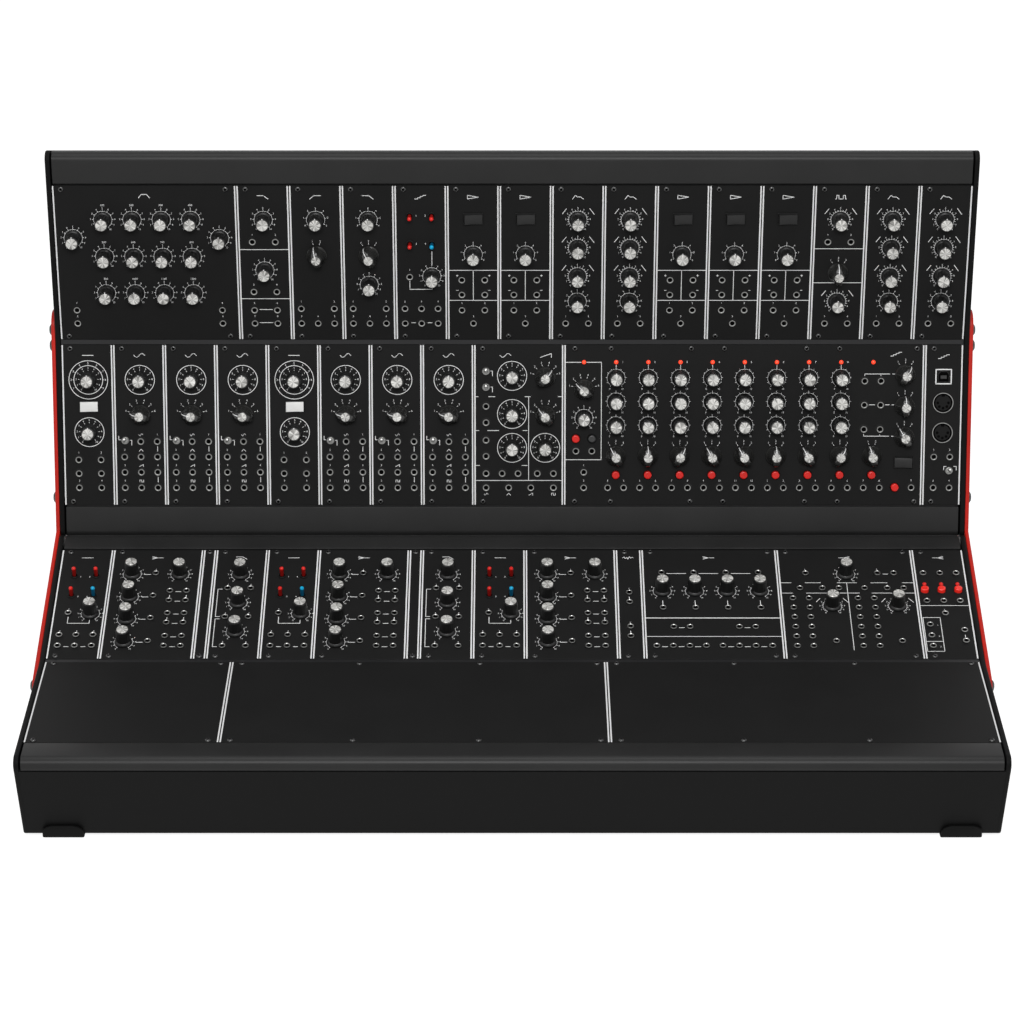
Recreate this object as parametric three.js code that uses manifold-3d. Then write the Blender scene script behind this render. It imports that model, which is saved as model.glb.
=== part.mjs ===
// Modular synthesizer: two shallow cases, each bent between its two rows of panel
// modules, and a pair of side brackets that stands one case above the other.
// Millimetres, +X across, +Y away from the player, +Z up, z = 0 on the table.

import * as THREE from 'three';
import { mergeVertices } from 'three/addons/utils/BufferGeometryUtils.js';
import Module from 'manifold-3d';

const wasm = await Module();
wasm.setup();

const rad = THREE.MathUtils.degToRad;

// Panel grid
const unitWidth = 5.08;
const rowUnits = 140;
const panelHeight = 128.5;
const panelThick = 2;
const hairline = 0.3;
const seamDepth = 0.6;

// Case: the rows bend towards the player, and both end walls lean inwards below
const rowGap = 4.2;
const bend = rad(15);
const wallLean = rad(21.85);
const frontLip = 30.6;
const lowerRearLip = 25;
const upperRearLip = 29.5;
const lipGap = 1.6;
const caseDepth = 77;
const cheekThick = 3.8;
const cheekProud = 1;
const wallThick = 2.2;
const cornerRadius = 7;
const footCornerRadius = 4;
const lipWrap = 11.6;
const lipInset = 0.5;
const lipSheet = 2;
const lipEndGap = 1.3;
const fitGap = 0.3;
const cutOverrun = 40;

// Rails behind the panel edges, with a slot for the threaded strip
const railReach = 8;
const railBehind = 6;
const railDepth = 12;
const railSlotWidth = 3.2;
const railSlotDepth = 5;
const railSlotOffset = 1.4;

// The upper case stands past the rear row of the lower one, and above it
const standAngle = rad(76);
const standAhead = 33.45;
const standRise = 18.56;

// Side brackets and their bolts
const bracketThick = 3;
const bracketWidth = 44;
const bracketUpperEnd = 154.6;
const bracketLowerEnd = 33;
const bracketCorner = 12;
const elbowRadius = 30;
const boltHeadRadius = 4.6;
const boltHeadHeight = 2.4;
const boltCrownRadius = 2.6;
const boltRadius = 2.5;
const boltInset = 8;
const upperBoltRises = [5, 126.9, 139.4];
const lowerBoltRises = [-21.6, 8, 118];
const lowerBoltInsets = [boltInset, 22, 22];

// Rubber feet that wrap the bottom corners
const footRise = 2.5;
const footWrap = 11.4;
const footProud = 2.4;
const footRun = 24;
const footWidth = 31;
const footTopShare = 0.94;
const footInset = 14;
const footRound = 3;
const footShoulder = 6;
const footEdge = 1.5;

// Round knob on its shaft
const knobHeight = 13.7;
const knobCapRadius = 4.4;
const knobBodyRadius = 5.2;
const knobSkirtRadius = 6.7;
const knobCapThick = 1.2;
const knobSkirtThick = 1.4;
const knobLift = 0.5;
const shaftRadius = 3;
const shaftClear = 0.35;
const shaftHeight = 9;

// Pointer knob: a low dome with a raised bar
const pointerBaseRadius = 7.8;
const pointerDomeRadius = 5.6;
const pointerBaseHeight = 5;
const pointerBarWidth = 4.6;
const pointerBarReach = 8.6;
const pointerCapRadius = 3.3;
const pointerHeight = 13.7;

// Switches and buttons
const leverRadius = 1.7;
const leverHeight = 9;
const leverDrop = 1.2;
const toggleRadius = 1.2;
const toggleTipRadius = 1.7;
const toggleHeight = 10;
const toggleTilt = rad(12);
const bushingRadius = 3.2;
const bushingHeight = 2.2;
const bushingBore = 2.5;
const bushingThroat = 1.6;
const rockerWidth = 15.6;
const rockerTall = 9.4;
const rockerFrame = 0.6;
const rockerFrameHeight = 1.2;
const rockerRise = 3.4;
const rockerSink = 1.4;
const rockerDish = 0.8;
const rockerClear = 0.25;
const rockerTilt = rad(7);
const buttonRadius = 3.1;
const buttonRise = 2.6;
const buttonStem = 3;
const buttonFlange = 0.8;
const buttonClear = 0.35;
const buttonTravel = 1.2;

// Sockets and lamps
const jackRadius = 2.1;
const jackDepth = 1.7;
const lampRadius = 1.5;
const lampRise = 1.1;
const roundSocketRadius = 7.6;
const roundSocketDepth = 1.3;
const dataSocketWidth = 9.4;
const dataSocketTall = 8.4;
const dataSocketDepth = 1.3;

// Boards and the power entry
const boardDepth = 12;
const boardInset = 1.6;
const boardTallShare = 0.74;
const busBoardWidth = 620;
const busBoardTall = 60;
const busBoardThick = 1.6;
const standoff = 7;
const standoffWidth = 8;
const inletWidth = 14;
const inletTall = 11;
const inletDepth = 1.2;
const inletOffset = 250;
const inletSpacing = 26;
const inletRise = 40;

// Facets round each form
const arcSteps = 4;
const footArcSteps = 2;
const fineSides = 13;
const fixedSides = 7;
const boltSides = 6;
const jackSides = 5;
const stickSides = 8;
const barSides = 6;

const rowWidth = rowUnits * unitWidth;
const innerWidth = rowWidth + 2 * fitGap;
const caseWidth = innerWidth + 2 * cheekThick;
const pi = Math.PI;

// Colours as the finishes look under plain light
const finish = {
  shell: { color: 0x2a2a2b, roughness: 0.55, metalness: 0.2 },
  panel: { color: 0x1e1e1f, roughness: 0.5, metalness: 0.3 },
  rail: { color: 0x303032, roughness: 0.4, metalness: 0.6 },
  bracket: { color: 0xb8261a, roughness: 0.4, metalness: 0.3 },
  rubber: { color: 0x161616, roughness: 0.9, metalness: 0 },
  knob: { color: 0x141414, roughness: 0.5, metalness: 0 },
  pointer: { color: 0x1b1b1b, roughness: 0.35, metalness: 0 },
  red: { color: 0xd42d2d, roughness: 0.35, metalness: 0 },
  white: { color: 0xe6e6e6, roughness: 0.4, metalness: 0 },
  nickel: { color: 0xc9c9c6, roughness: 0.25, metalness: 1 },
};

// Manifold helpers

function solid(geometry) {
  const bare = geometry.index ? geometry.toNonIndexed() : geometry.clone();
  bare.deleteAttribute('normal');
  bare.deleteAttribute('uv');
  const merged = mergeVertices(bare, 1e-4);
  const vertProperties = new Float32Array(merged.attributes.position.array);
  const triVerts = new Uint32Array(merged.index.array);
  return new wasm.Manifold(new wasm.Mesh({ numProp: 3, vertProperties, triVerts }));
}

function together(solids) {
  return solids.reduce((sum, next) => sum.add(next));
}

function toMesh(shape, name, look) {
  const { vertProperties, triVerts } = shape.getMesh();
  const geometry = new THREE.BufferGeometry();
  geometry.setAttribute('position', new THREE.BufferAttribute(new Float32Array(vertProperties), 3));
  geometry.setIndex(new THREE.BufferAttribute(new Uint32Array(triVerts), 1));
  geometry.computeVertexNormals();
  const mesh = new THREE.Mesh(geometry, new THREE.MeshStandardMaterial(finish[look]));
  mesh.name = name;
  return mesh;
}

// Plain forms, each standing on z = 0 unless a lift is given

function box(width, tall, deep, x = 0, y = 0, z = 0) {
  return new THREE.BoxGeometry(width, tall, deep).translate(x, y, z + deep / 2);
}

function taper(lowRadius, highRadius, height, sides, x = 0, y = 0, z = 0) {
  return new THREE.CylinderGeometry(highRadius, lowRadius, height, sides)
    .rotateX(pi / 2)
    .translate(x, y, z + height / 2);
}

function dimple(radius, depth, sides, x, y, overrun) {
  const grown = radius * (1 + overrun / depth);
  return new THREE.ConeGeometry(grown, depth + overrun, sides)
    .rotateX(-pi / 2)
    .translate(x, y, (overrun - depth) / 2);
}

function turned(profile, sides) {
  return new THREE.LatheGeometry(profile.map(([r, z]) => new THREE.Vector2(r, z)), sides).rotateX(pi / 2);
}

// Outlines in the side view: x of the shape runs along +Y and y along +Z

const point = (x, y) => new THREE.Vector2(x, y);
const ray = (angle) => point(Math.cos(angle), Math.sin(angle));
const along = (start, angle, distance) => start.clone().addScaledVector(ray(angle), distance);

function meet(a, angleA, b, angleB) {
  const da = ray(angleA);
  const db = ray(angleB);
  const step = (b.x - a.x) * db.y - (b.y - a.y) * db.x;
  return a.clone().addScaledVector(da, step / (da.x * db.y - da.y * db.x));
}

// Rounds each corner of an outline by its own radius, with arcs of a few steps
function rounded(corners, steps = arcSteps) {
  const outline = [];
  corners.forEach(([at, radius], i) => {
    const before = corners.at(i - 1)[0];
    const after = corners[(i + 1) % corners.length][0];
    if (!radius) {
      outline.push(at);
      return;
    }
    const back = before.clone().sub(at).normalize();
    const ahead = after.clone().sub(at).normalize();
    const half = Math.acos(THREE.MathUtils.clamp(back.dot(ahead), -1, 1)) / 2;
    const centre = at.clone().addScaledVector(back.clone().add(ahead).normalize(), radius / Math.sin(half));
    const first = at.clone().addScaledVector(back, radius / Math.tan(half)).sub(centre);
    const turn = (pi - 2 * half) * Math.sign(ahead.cross(back));
    for (let k = 0; k <= steps; k += 1) {
      outline.push(first.clone().rotateAround(point(0, 0), (turn * k) / steps).add(centre));
    }
  });
  return outline;
}

function prism(outline, width, x = 0) {
  const lying = new THREE.Matrix4().makeBasis(
    new THREE.Vector3(0, 1, 0),
    new THREE.Vector3(0, 0, 1),
    new THREE.Vector3(1, 0, 0),
  );
  return new THREE.ExtrudeGeometry(new THREE.Shape(outline), { depth: width, bevelEnabled: false })
    .translate(0, 0, x - width / 2)
    .applyMatrix4(lying);
}

// Side view of a case: origin at the front panel's lower front edge, rows facing up

const frontRow = { start: point(0, 0), angle: 0 };
const rearRow = { start: along(point(panelHeight, 0), bend / 2, rowGap), angle: bend };

// A place at a distance up a row and a height above its panel faces
function onRow(row, up, above = 0) {
  return along(along(row.start, row.angle, up), row.angle + pi / 2, above);
}

// Each end of a case: where its sharp corner would be, how its wall runs down from there,
// and a place at a distance in from that corner and a height above the panel faces
const frontEnd = {
  row: frontRow,
  span: frontLip,
  inward: 1,
  peak: onRow(frontRow, -frontLip, cheekProud),
  wallAngle: wallLean - pi / 2,
  place: (distance, above) => onRow(frontRow, distance - frontLip, above),
};
const rearEndOf = (span) => ({
  row: rearRow,
  span,
  inward: -1,
  peak: onRow(rearRow, panelHeight + span, cheekProud),
  wallAngle: bend - wallLean - pi / 2,
  place: (distance, above) => onRow(rearRow, panelHeight + span - distance, above),
});
const lowerRearEnd = rearEndOf(lowerRearLip);
const upperRearEnd = rearEndOf(upperRearLip);
const cheekBend = meet(frontEnd.peak, frontRow.angle, lowerRearEnd.peak, rearRow.angle);
const toeOf = (end) => meet(end.peak, end.wallAngle, point(0, -caseDepth), 0);

function caseOutline(rearEnd) {
  return rounded([
    [frontEnd.peak, cornerRadius],
    [toeOf(frontEnd), footCornerRadius],
    [toeOf(rearEnd), footCornerRadius],
    [rearEnd.peak, cornerRadius],
    [cheekBend, 0],
  ]);
}

// The hollow between the cheeks, open above the seams where the lips begin
function hollowOutline(rearEnd) {
  const floor = point(0, wallThick - caseDepth);
  const wall = ({ peak, wallAngle, inward }) => {
    const seam = along(peak, wallAngle, lipWrap);
    const inside = wallAngle + (inward * pi) / 2;
    const face = along(seam, inside, wallThick);
    return [along(seam, inside, -cutOverrun), face, meet(face, wallAngle, floor, 0)];
  };
  return [
    ...wall(frontEnd),
    ...wall(rearEnd).reverse(),
    rearEnd.place(-cutOverrun, cutOverrun),
    frontEnd.place(-cutOverrun, cutOverrun),
  ];
}

// A round form turned outwards along X, at a place in the side view
function sideways(form, side, at) {
  return solid(form.rotateY((side * pi) / 2).translate(0, at.x, at.y));
}

// The holes that the bracket bolts pass through
function boltHoles(places) {
  const hole = boltRadius + fitGap;
  const start = (caseWidth - cutOverrun) / 2;
  return places.flatMap((at) => [-1, 1].map(
    (side) => sideways(taper(hole, hole, cutOverrun, boltSides, 0, 0, start), side, at),
  ));
}

// Power entry: a square recess for the direct-current socket and one for its switch
function inletRecesses(rearEnd) {
  const middle = along(toeOf(rearEnd), rearEnd.wallAngle, -inletRise);
  const outward = rearEnd.wallAngle + pi / 2;
  return [0, inletSpacing].map((step) => solid(
    box(inletWidth, inletTall, inletDepth + cutOverrun, 0, 0, -inletDepth)
      .rotateX(outward - pi / 2)
      .translate(step - inletOffset, middle.x, middle.y),
  ));
}

// A long circuit board on standoffs that rise from the case floor
function busBoard(rearEnd) {
  const middle = (toeOf(frontEnd).x + toeOf(rearEnd).x) / 2;
  const floor = wallThick - caseDepth;
  const board = box(busBoardWidth, busBoardTall, busBoardThick, 0, middle, floor + standoff);
  const reach = (busBoardWidth - standoffWidth) / 2;
  const posts = [-reach, 0, reach].map(
    (x) => box(standoffWidth, standoffWidth, standoff + wallThick, x, middle, floor - wallThick / 2),
  );
  return [board, ...posts].map(solid);
}

function tray(name, rearEnd, boltPlaces) {
  const shell = solid(prism(caseOutline(rearEnd), caseWidth))
    .subtract(solid(prism(hollowOutline(rearEnd), innerWidth)))
    .add(together(busBoard(rearEnd)))
    .subtract(together([...boltHoles(boltPlaces), ...inletRecesses(rearEnd)]));
  return toMesh(shell, name, 'shell');
}

// A lip: bent sheet from the seam round the corner, with the panel rail along its edge
function lip(name, end) {
  const { place, peak, wallAngle, inward, span } = end;
  const outer = along(peak, wallAngle + (inward * pi) / 2, lipInset);
  const inner = along(peak, wallAngle + (inward * pi) / 2, lipInset + lipSheet);
  const rimTop = cheekProud - lipInset;
  const rimLow = rimTop - lipSheet;
  const seat = -panelThick - fitGap;
  const slot = span + railSlotOffset;
  const outline = rounded([
    [place(span - lipGap, rimTop), 0],
    [meet(outer, wallAngle, place(0, rimTop), end.row.angle), cornerRadius - lipInset],
    [along(outer, wallAngle, lipWrap - fitGap), 0],
    [along(inner, wallAngle, lipWrap - fitGap), 0],
    [meet(inner, wallAngle, place(0, rimLow), end.row.angle), cornerRadius - lipInset - lipSheet],
    [place(span - railBehind, rimLow), 0],
    [place(span - railBehind, -railDepth), 0],
    [place(span + railReach, -railDepth), 0],
    [place(span + railReach, seat), 0],
    [place(slot + railSlotWidth, seat), 0],
    [place(slot + railSlotWidth, seat - railSlotDepth), 0],
    [place(slot, seat - railSlotDepth), 0],
    [place(slot, seat), 0],
    [place(span - lipGap, seat), 0],
  ]);
  return toMesh(solid(prism(outline, innerWidth - 2 * lipEndGap)), name, 'shell');
}

// The twin rail between the rows: a low ridge with a seat and a slot on each side
function middleRail(name) {
  const seat = -panelThick - fitGap;
  const slot = railSlotOffset;
  const front = (up, above) => onRow(frontRow, panelHeight - up, above);
  const rear = (up, above) => onRow(rearRow, up, above);
  const side = (place) => [
    place(-fitGap, -fitGap),
    place(-fitGap, seat),
    place(slot, seat),
    place(slot, seat - railSlotDepth),
    place(slot + railSlotWidth, seat - railSlotDepth),
    place(slot + railSlotWidth, seat),
    place(railReach, seat),
    place(railReach, -railDepth),
  ];
  return toMesh(solid(prism([...side(rear), ...side(front).reverse()], rowWidth)), name, 'rail');
}

// Rubber foot: its side view wraps a bottom corner, its front view has round shoulders
function foot(name, end, side) {
  const { wallAngle, inward } = end;
  const toe = toeOf(end);
  const near = along(toe, wallAngle - (inward * pi) / 2, fitGap);
  const far = along(toe, wallAngle - (inward * pi) / 2, footProud);
  const under = point(0, -caseDepth - fitGap);
  const ground = point(0, -caseDepth - footRise);
  const back = toe.x + inward * footRun;
  const profile = rounded([
    [along(near, wallAngle, -footWrap), 0],
    [along(far, wallAngle, -footWrap), 0],
    [meet(far, wallAngle, ground, 0), footRound],
    [point(back, ground.y), 0],
    [point(back, under.y), 0],
    [meet(near, wallAngle, under, 0), footCornerRadius],
  ], footArcSteps);
  const top = along(far, wallAngle, -footWrap).y;
  const front = new THREE.Shape(rounded([
    [point(-footWidth / 2, ground.y), footEdge],
    [point(footWidth / 2, ground.y), footEdge],
    [point((footWidth * footTopShare) / 2, top), footShoulder],
    [point((-footWidth * footTopShare) / 2, top), footShoulder],
  ], footArcSteps));
  const deep = 2 * (footRun + footWrap);
  const face = new THREE.ExtrudeGeometry(front, { depth: deep, bevelEnabled: false })
    .rotateX(pi / 2)
    .translate(0, toe.x + deep / 2, 0);
  const shape = solid(prism(profile, footWidth)).intersect(solid(face));
  const mesh = toMesh(shape, name, 'rubber');
  mesh.position.x = side * (caseWidth / 2 - footInset - footWidth / 2);
  return mesh;
}

// Placing of the two cases, in the side view of the lower one

const upperStart = onRow(rearRow, panelHeight + standAhead, standRise);

function inUpper(place) {
  return place.clone().rotateAround(point(0, 0), standAngle).add(upperStart);
}

// The bracket's outline follows the lower case's rear row and the upper one's front row
const upperBoltPlaces = upperBoltRises.map((up) => onRow(frontRow, up, -boltInset));
const lowerBoltPlaces = lowerBoltRises.map((up, i) => onRow(rearRow, up, -lowerBoltInsets[i]));

function bracket(name, side) {
  const upLine = (above) => along(upperStart, standAngle + pi / 2, above);
  const lowLine = (above) => onRow(rearRow, 0, above);
  const elbow = meet(upLine(0), standAngle, lowLine(0), rearRow.angle);
  const heel = meet(upLine(-bracketWidth), standAngle, lowLine(-bracketWidth), rearRow.angle);
  const upperEnd = along(upperStart, standAngle, bracketUpperEnd);
  const plate = prism(rounded([
    [elbow, 0],
    [upperEnd, bracketCorner],
    [along(upperEnd, standAngle - pi / 2, bracketWidth), bracketCorner],
    [heel, elbowRadius],
    [onRow(rearRow, -bracketLowerEnd, -bracketWidth), bracketCorner],
    [onRow(rearRow, -bracketLowerEnd), bracketCorner],
  ]), bracketThick, (side * (caseWidth + bracketThick)) / 2 + side * fitGap);
  const inside = caseWidth / 2 - cheekThick / 2;
  const outside = caseWidth / 2 + fitGap + bracketThick;
  const places = [...lowerBoltPlaces, ...upperBoltPlaces.map(inUpper)];
  const bolts = places.flatMap((at) => {
    const shank = taper(boltRadius, boltRadius, outside - inside, boltSides, 0, 0, inside);
    const head = taper(boltHeadRadius, boltCrownRadius, boltHeadHeight, boltSides, 0, 0, outside);
    return [shank, head].map((form) => sideways(form, side, at));
  });
  return toMesh(together([solid(plate), ...bolts]), name, 'bracket');
}

// Controls. Each function returns what it adds to or takes from a panel, around a place
// on the panel's front face, and a moving control also returns its own solid.

const below = -seamDepth;

const fixed = {
  jack: (x, y) => ({ cut: dimple(jackRadius, jackDepth, jackSides, x, y, seamDepth) }),
  knob: (x, y) => ({
    add: taper(knobSkirtRadius, knobCapRadius, knobHeight - below, fixedSides, x, y, below),
  }),
  pointer: (x, y, turn = 0) => ({
    add: taper(pointerBarReach, pointerCapRadius, pointerHeight - below, barSides, 0, 0, below)
      .scale(pointerBaseRadius / pointerBarReach / 2, 1, 1)
      .rotateZ(rad(turn))
      .translate(x, y, 0),
  }),
  lever: (x, y) => ({
    add: taper(leverRadius, leverRadius, leverHeight - below, jackSides, x, y, below),
  }),
  toggle: (x, y) => ({
    add: taper(bushingRadius, toggleRadius, toggleHeight - below, jackSides, x, y, below),
  }),
  rocker: (x, y) => ({ add: box(rockerWidth, rockerTall, rockerRise - below, x, y, below) }),
  button: (x, y) => ({
    add: taper(buttonRadius, buttonRadius, buttonRise - below, barSides, x, y, below),
  }),
  lamp: (x, y) => ({ add: taper(lampRadius, lampRadius, lampRise - below, jackSides, x, y, below) }),
  round: (x, y) => ({
    cut: taper(roundSocketRadius, roundSocketRadius, cutOverrun, fineSides, x, y, -roundSocketDepth),
  }),
  data: (x, y) => ({
    cut: box(dataSocketWidth, dataSocketTall, cutOverrun, x, y, -dataSocketDepth),
  }),
};

// A shaft stub that stays with the panel, under every knob that turns
function shaft(x, y) {
  return taper(shaftRadius, shaftRadius, shaftHeight - below, fineSides, x, y, below);
}

const boreRadius = shaftRadius + shaftClear;
const boreTop = shaftHeight + shaftClear;

const moving = {
  knob: (x, y) => ({
    add: shaft(x, y),
    look: 'knob',
    body: solid(turned([
      [0, boreTop],
      [boreRadius, boreTop],
      [boreRadius, knobLift],
      [knobSkirtRadius, knobLift],
      [knobSkirtRadius, knobLift + knobSkirtThick],
      [knobBodyRadius, knobHeight - 2 * knobCapThick],
      [knobCapRadius, knobHeight - knobCapThick],
      [knobCapRadius, knobHeight],
      [0, knobHeight],
    ], fineSides)),
  }),
  pointer: (x, y, turn = 0) => {
    const rim = knobLift + knobSkirtThick;
    const shoulder = pointerBaseHeight + knobLift;
    const dome = solid(turned([
      [0, knobLift],
      [pointerBaseRadius, knobLift],
      [pointerBaseRadius, rim],
      [pointerDomeRadius, shoulder],
      [pointerCapRadius, pointerHeight - knobCapThick],
      [pointerCapRadius, pointerHeight],
      [0, pointerHeight],
    ], fineSides));
    const bar = solid(taper(pointerBarReach, pointerCapRadius, pointerHeight - knobCapThick - knobLift, 4)
      .rotateZ(pi / 4)
      .scale(pointerBarWidth / pointerBarReach / 2, 1, 1)
      .translate(0, 0, knobLift));
    const bore = solid(taper(boreRadius, boreRadius, boreTop + knobLift, fineSides, 0, 0, -knobLift));
    return {
      add: shaft(x, y),
      look: 'pointer',
      body: dome.add(bar).subtract(bore).rotate([0, 0, turn]),
    };
  },
  lever: (x, y) => leverIn(x, y, leverRadius, leverRadius, leverHeight, 0, 'red'),
  toggle: (x, y) => leverIn(x, y, toggleRadius, toggleTipRadius, toggleHeight, toggleTilt, 'nickel'),
  rocker: (x, y, turn = 0, look = 'knob') => {
    const wide = rockerWidth / 2 - rockerFrame - rockerClear;
    const tall = rockerTall / 2 - rockerFrame - rockerClear;
    const profile = [
      point(-wide, rockerRise),
      point(0, rockerRise - rockerDish),
      point(wide, rockerRise),
      point(wide, 0),
      point(0, -rockerDish),
      point(-wide, 0),
    ];
    return {
      add: box(rockerWidth, rockerTall, rockerFrameHeight - below, x, y, below),
      cut: box(
        rockerWidth - 2 * rockerFrame,
        rockerTall - 2 * rockerFrame,
        cutOverrun,
        x,
        y,
        -rockerSink,
      ),
      look,
      body: solid(prism(profile, 2 * tall).rotateZ(-pi / 2).rotateY(rockerTilt)),
    };
  },
  button: (x, y) => ({
    cut: taper(
      buttonRadius + buttonClear,
      buttonRadius + buttonClear,
      cutOverrun,
      fineSides,
      x,
      y,
      -buttonStem - fitGap,
    ),
    look: 'red',
    body: solid(turned([
      [0, buttonTravel - buttonStem],
      [buttonRadius, buttonTravel - buttonStem],
      [buttonRadius, buttonRise],
      [buttonRadius - buttonFlange, buttonRise + buttonFlange],
      [0, buttonRise + buttonFlange],
    ], fineSides)),
  }),
};

// A stick that tips in its bushing about a line across the panel's front face; it rests
// thrown upwards by its tilt
function leverIn(x, y, foot, tip, height, tilt, look) {
  const floor = -leverDrop - fitGap;
  const root = taper(foot / 2, foot, leverDrop + bushingHeight, stickSides, 0, 0, -leverDrop);
  const stick = taper(foot, tip, height - bushingHeight, stickSides, 0, 0, bushingHeight);
  return {
    add: taper(bushingRadius, bushingRadius, bushingHeight - below, stickSides, x, y, below),
    cut: taper(bushingThroat, bushingBore, bushingHeight - floor, stickSides, x, y, floor),
    look,
    body: solid(root.rotateX(-tilt)).add(solid(stick.rotateX(-tilt))),
  };
}

// Rows of places, as shares of a module's width and of the panel height

const thirds_shares = [0.182, 0.5, 0.818];
const pair_shares = [0.28, 0.72];
const knob_rise_share = 0.781;
const foot_rise_share = 0.111;
const next_rise_share = 0.208;

const grid = (kind, acrosses, rises) => rises.flatMap((up) => acrosses.map((a) => [kind, a, up]));

const bank_shares = [
  ...grid('knob', [0.1027, 0.9015], [0.663]),
  ...grid('knob', [0.2686, 0.4282, 0.5878, 0.748], [knob_rise_share, 0.543, 0.306]),
  ...grid('jack', [0.1015, 0.9027], [0.198, foot_rise_share]),
];
const dual_filter_shares = [
  ...grid('knob', [0.5], [knob_rise_share, 0.455]),
  ...grid('jack', pair_shares, [0.642, 0.318, 0.198, foot_rise_share]),
];
const high_pass_shares = [
  ['knob', 0.5, knob_rise_share],
  ['pointer', 0.5, 0.552, 15],
  ...grid('jack', [0.182, 0.818], [next_rise_share]),
  ...grid('jack', thirds_shares, [foot_rise_share]),
];
const low_pass_shares = [
  ['knob', 0.5, knob_rise_share, 0, 'filter_cutoff_knob'],
  ['pointer', 0.5, 0.552, 30, 'filter_range_pointer'],
  ['knob', 0.5, 0.361],
  ...grid('jack', [0.182, 0.818], [next_rise_share]),
  ...grid('jack', thirds_shares, [foot_rise_share]),
];
const control_voltage_shares = [
  ['lever', 0.29, 0.807, 0, 'control_switch_lever'],
  ['lever', 0.71, 0.807],
  ...grid('lever', [0.29, 0.71], [0.626]),
  ['knob', 0.705, 0.416],
  ['jack', 0.28, 0.415],
  ...grid('jack', thirds_shares, [next_rise_share, foot_rise_share]),
];
const amplifier_shares = [
  ['rocker', 0.5, 0.788],
  ['knob', 0.5, 0.558],
  ...grid('jack', pair_shares, [0.395, 0.299, 0.198]),
  ['jack', 0.5, foot_rise_share],
];
const envelope_shares = [
  ...grid('knob', [0.5], [knob_rise_share, 0.6, 0.416, 0.251]),
  ...grid('jack', pair_shares, [foot_rise_share]),
];
const delay_shares = [
  ...grid('knob', [0.5], [knob_rise_share, 0.251]),
  ['pointer', 0.5, 0.441],
  ...grid('jack', pair_shares, [0.642, foot_rise_share]),
];
const driver_shares = [
  ...grid('knob', [0.515], [0.782, 0.457]),
  ['rocker', 0.515, 0.617],
  ...grid('jack', [0.3, 0.735], [0.286, 0.2, foot_rise_share]),
];
const oscillator_shares = [
  ['knob', 0.515, 0.782],
  ['pointer', 0.515, 0.565, 75],
  ['toggle', 0.21, 0.406],
  ...grid('jack', [0.515, 0.835], [0.4]),
  ...grid('jack', [0.195, 0.515, 0.835], [0.304, next_rise_share, foot_rise_share]),
];
const voltage_oscillator_shares = [
  ['knob', 0.426, 0.807],
  ...grid('knob', [0.426], [0.57, 0.359]),
  ['knob', 0.794, 0.359],
  ['pointer', 0.794, 0.799, -40],
  ['pointer', 0.794, 0.561, 40],
  ...grid('toggle', [0.136], [0.837, 0.738]),
  ...grid('jack', [0.136], [0.619, 0.518, 0.408, 0.308]),
  ...grid('jack', [0.136, 0.315, 0.492, 0.707, 0.886], [0.2]),
  ...grid('jack', [0.136, 0.388, 0.635, 0.887], [foot_rise_share]),
];

// The sequencer's stages repeat across the panel at one step
const stage_start_share = 0.1452;
const stage_step_share = 0.0891;
const stage_jack_share = 0.0223;
const stage_pointer_turns = [30, 0, -30, 30, 30, 0, 30, -30];

function sequencerStages() {
  return stage_pointer_turns.flatMap((turn, i) => {
    const across = stage_start_share + stage_step_share * i;
    const first = i === 0;
    return [
      ['lamp', across, 0.892],
      ['knob', across, 0.793, 0, first && 'stage_knob'],
      ...grid('knob', [across], [0.646, 0.498]),
      ['pointer', across, 0.31, turn, first && 'stage_mode_pointer'],
      ['button', across, 0.191, 0, first && 'stage_set_button'],
      ...grid('jack', [across - stage_jack_share, across + stage_jack_share], [foot_rise_share]),
    ];
  });
}

const sequencer_shares = [
  ['lamp', 0.0559, 0.892],
  ['pointer', 0.0562, 0.723, 50],
  ['knob', 0.0562, 0.544],
  ...grid('button', [0.0337, 0.0787], [0.417]),
  ...grid('jack', [0.0341, 0.0784], [0.34]),
  ...grid('jack', [0.0561], [next_rise_share, foot_rise_share]),
  ...sequencerStages(),
  ['lamp', 0.858, 0.892],
  ['pointer', 0.858, 0.31, 15],
  ['button', 0.858, 0.191],
  ...grid('jack', [0.8357, 0.8803], [foot_rise_share]),
  ...grid('jack', [0.8345, 0.8795], [0.776, 0.627, 0.4755]),
  ['pointer', 0.9473, 0.815, -30],
  ['pointer', 0.9473, 0.62],
  ['pointer', 0.9473, 0.428, 30],
  ['rocker', 0.9473, 0.268],
  ['button', 0.9234, 0.113],
  ['jack', 0.9691, 0.112],
];
const converter_shares = [
  ['data', 0.5, 0.802],
  ...grid('round', [0.5], [0.64, 0.454]),
  ...grid('jack', [0.285, 0.7], [0.304, foot_rise_share]),
  ['toggle', 0.69, 0.218],
];
const oscillator_control_shares = [
  ...grid('lever', [0.31, 0.73], [0.755, 0.571]),
  ['knob', 0.72, 0.405],
  ['jack', 0.3, 0.406],
  ...grid('jack', [0.19, 0.51, 0.83], [0.206, 0.109]),
];
const mixer_shares = [
  ['knob', 0.24, 0.77],
  ...grid('knob', [0.24], [0.56, 0.356, 0.148]),
  ['knob', 0.766, 0.77],
  ...grid('jack', [0.5], [0.773, 0.564, 0.359, 0.151]),
  ...grid('jack', [0.678, 0.86], [0.609, 0.521, 0.403, 0.318, 0.197, 0.108]),
];
const attenuator_shares = [
  ...grid('knob', [0.51], [0.767, 0.505, 0.241]),
  ...grid('jack', [0.29, 0.73], [0.633, 0.37, 0.108]),
];
const random_shares = grid('jack', [0.48], [0.593, 0.506, 0.283, 0.196]);
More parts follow.
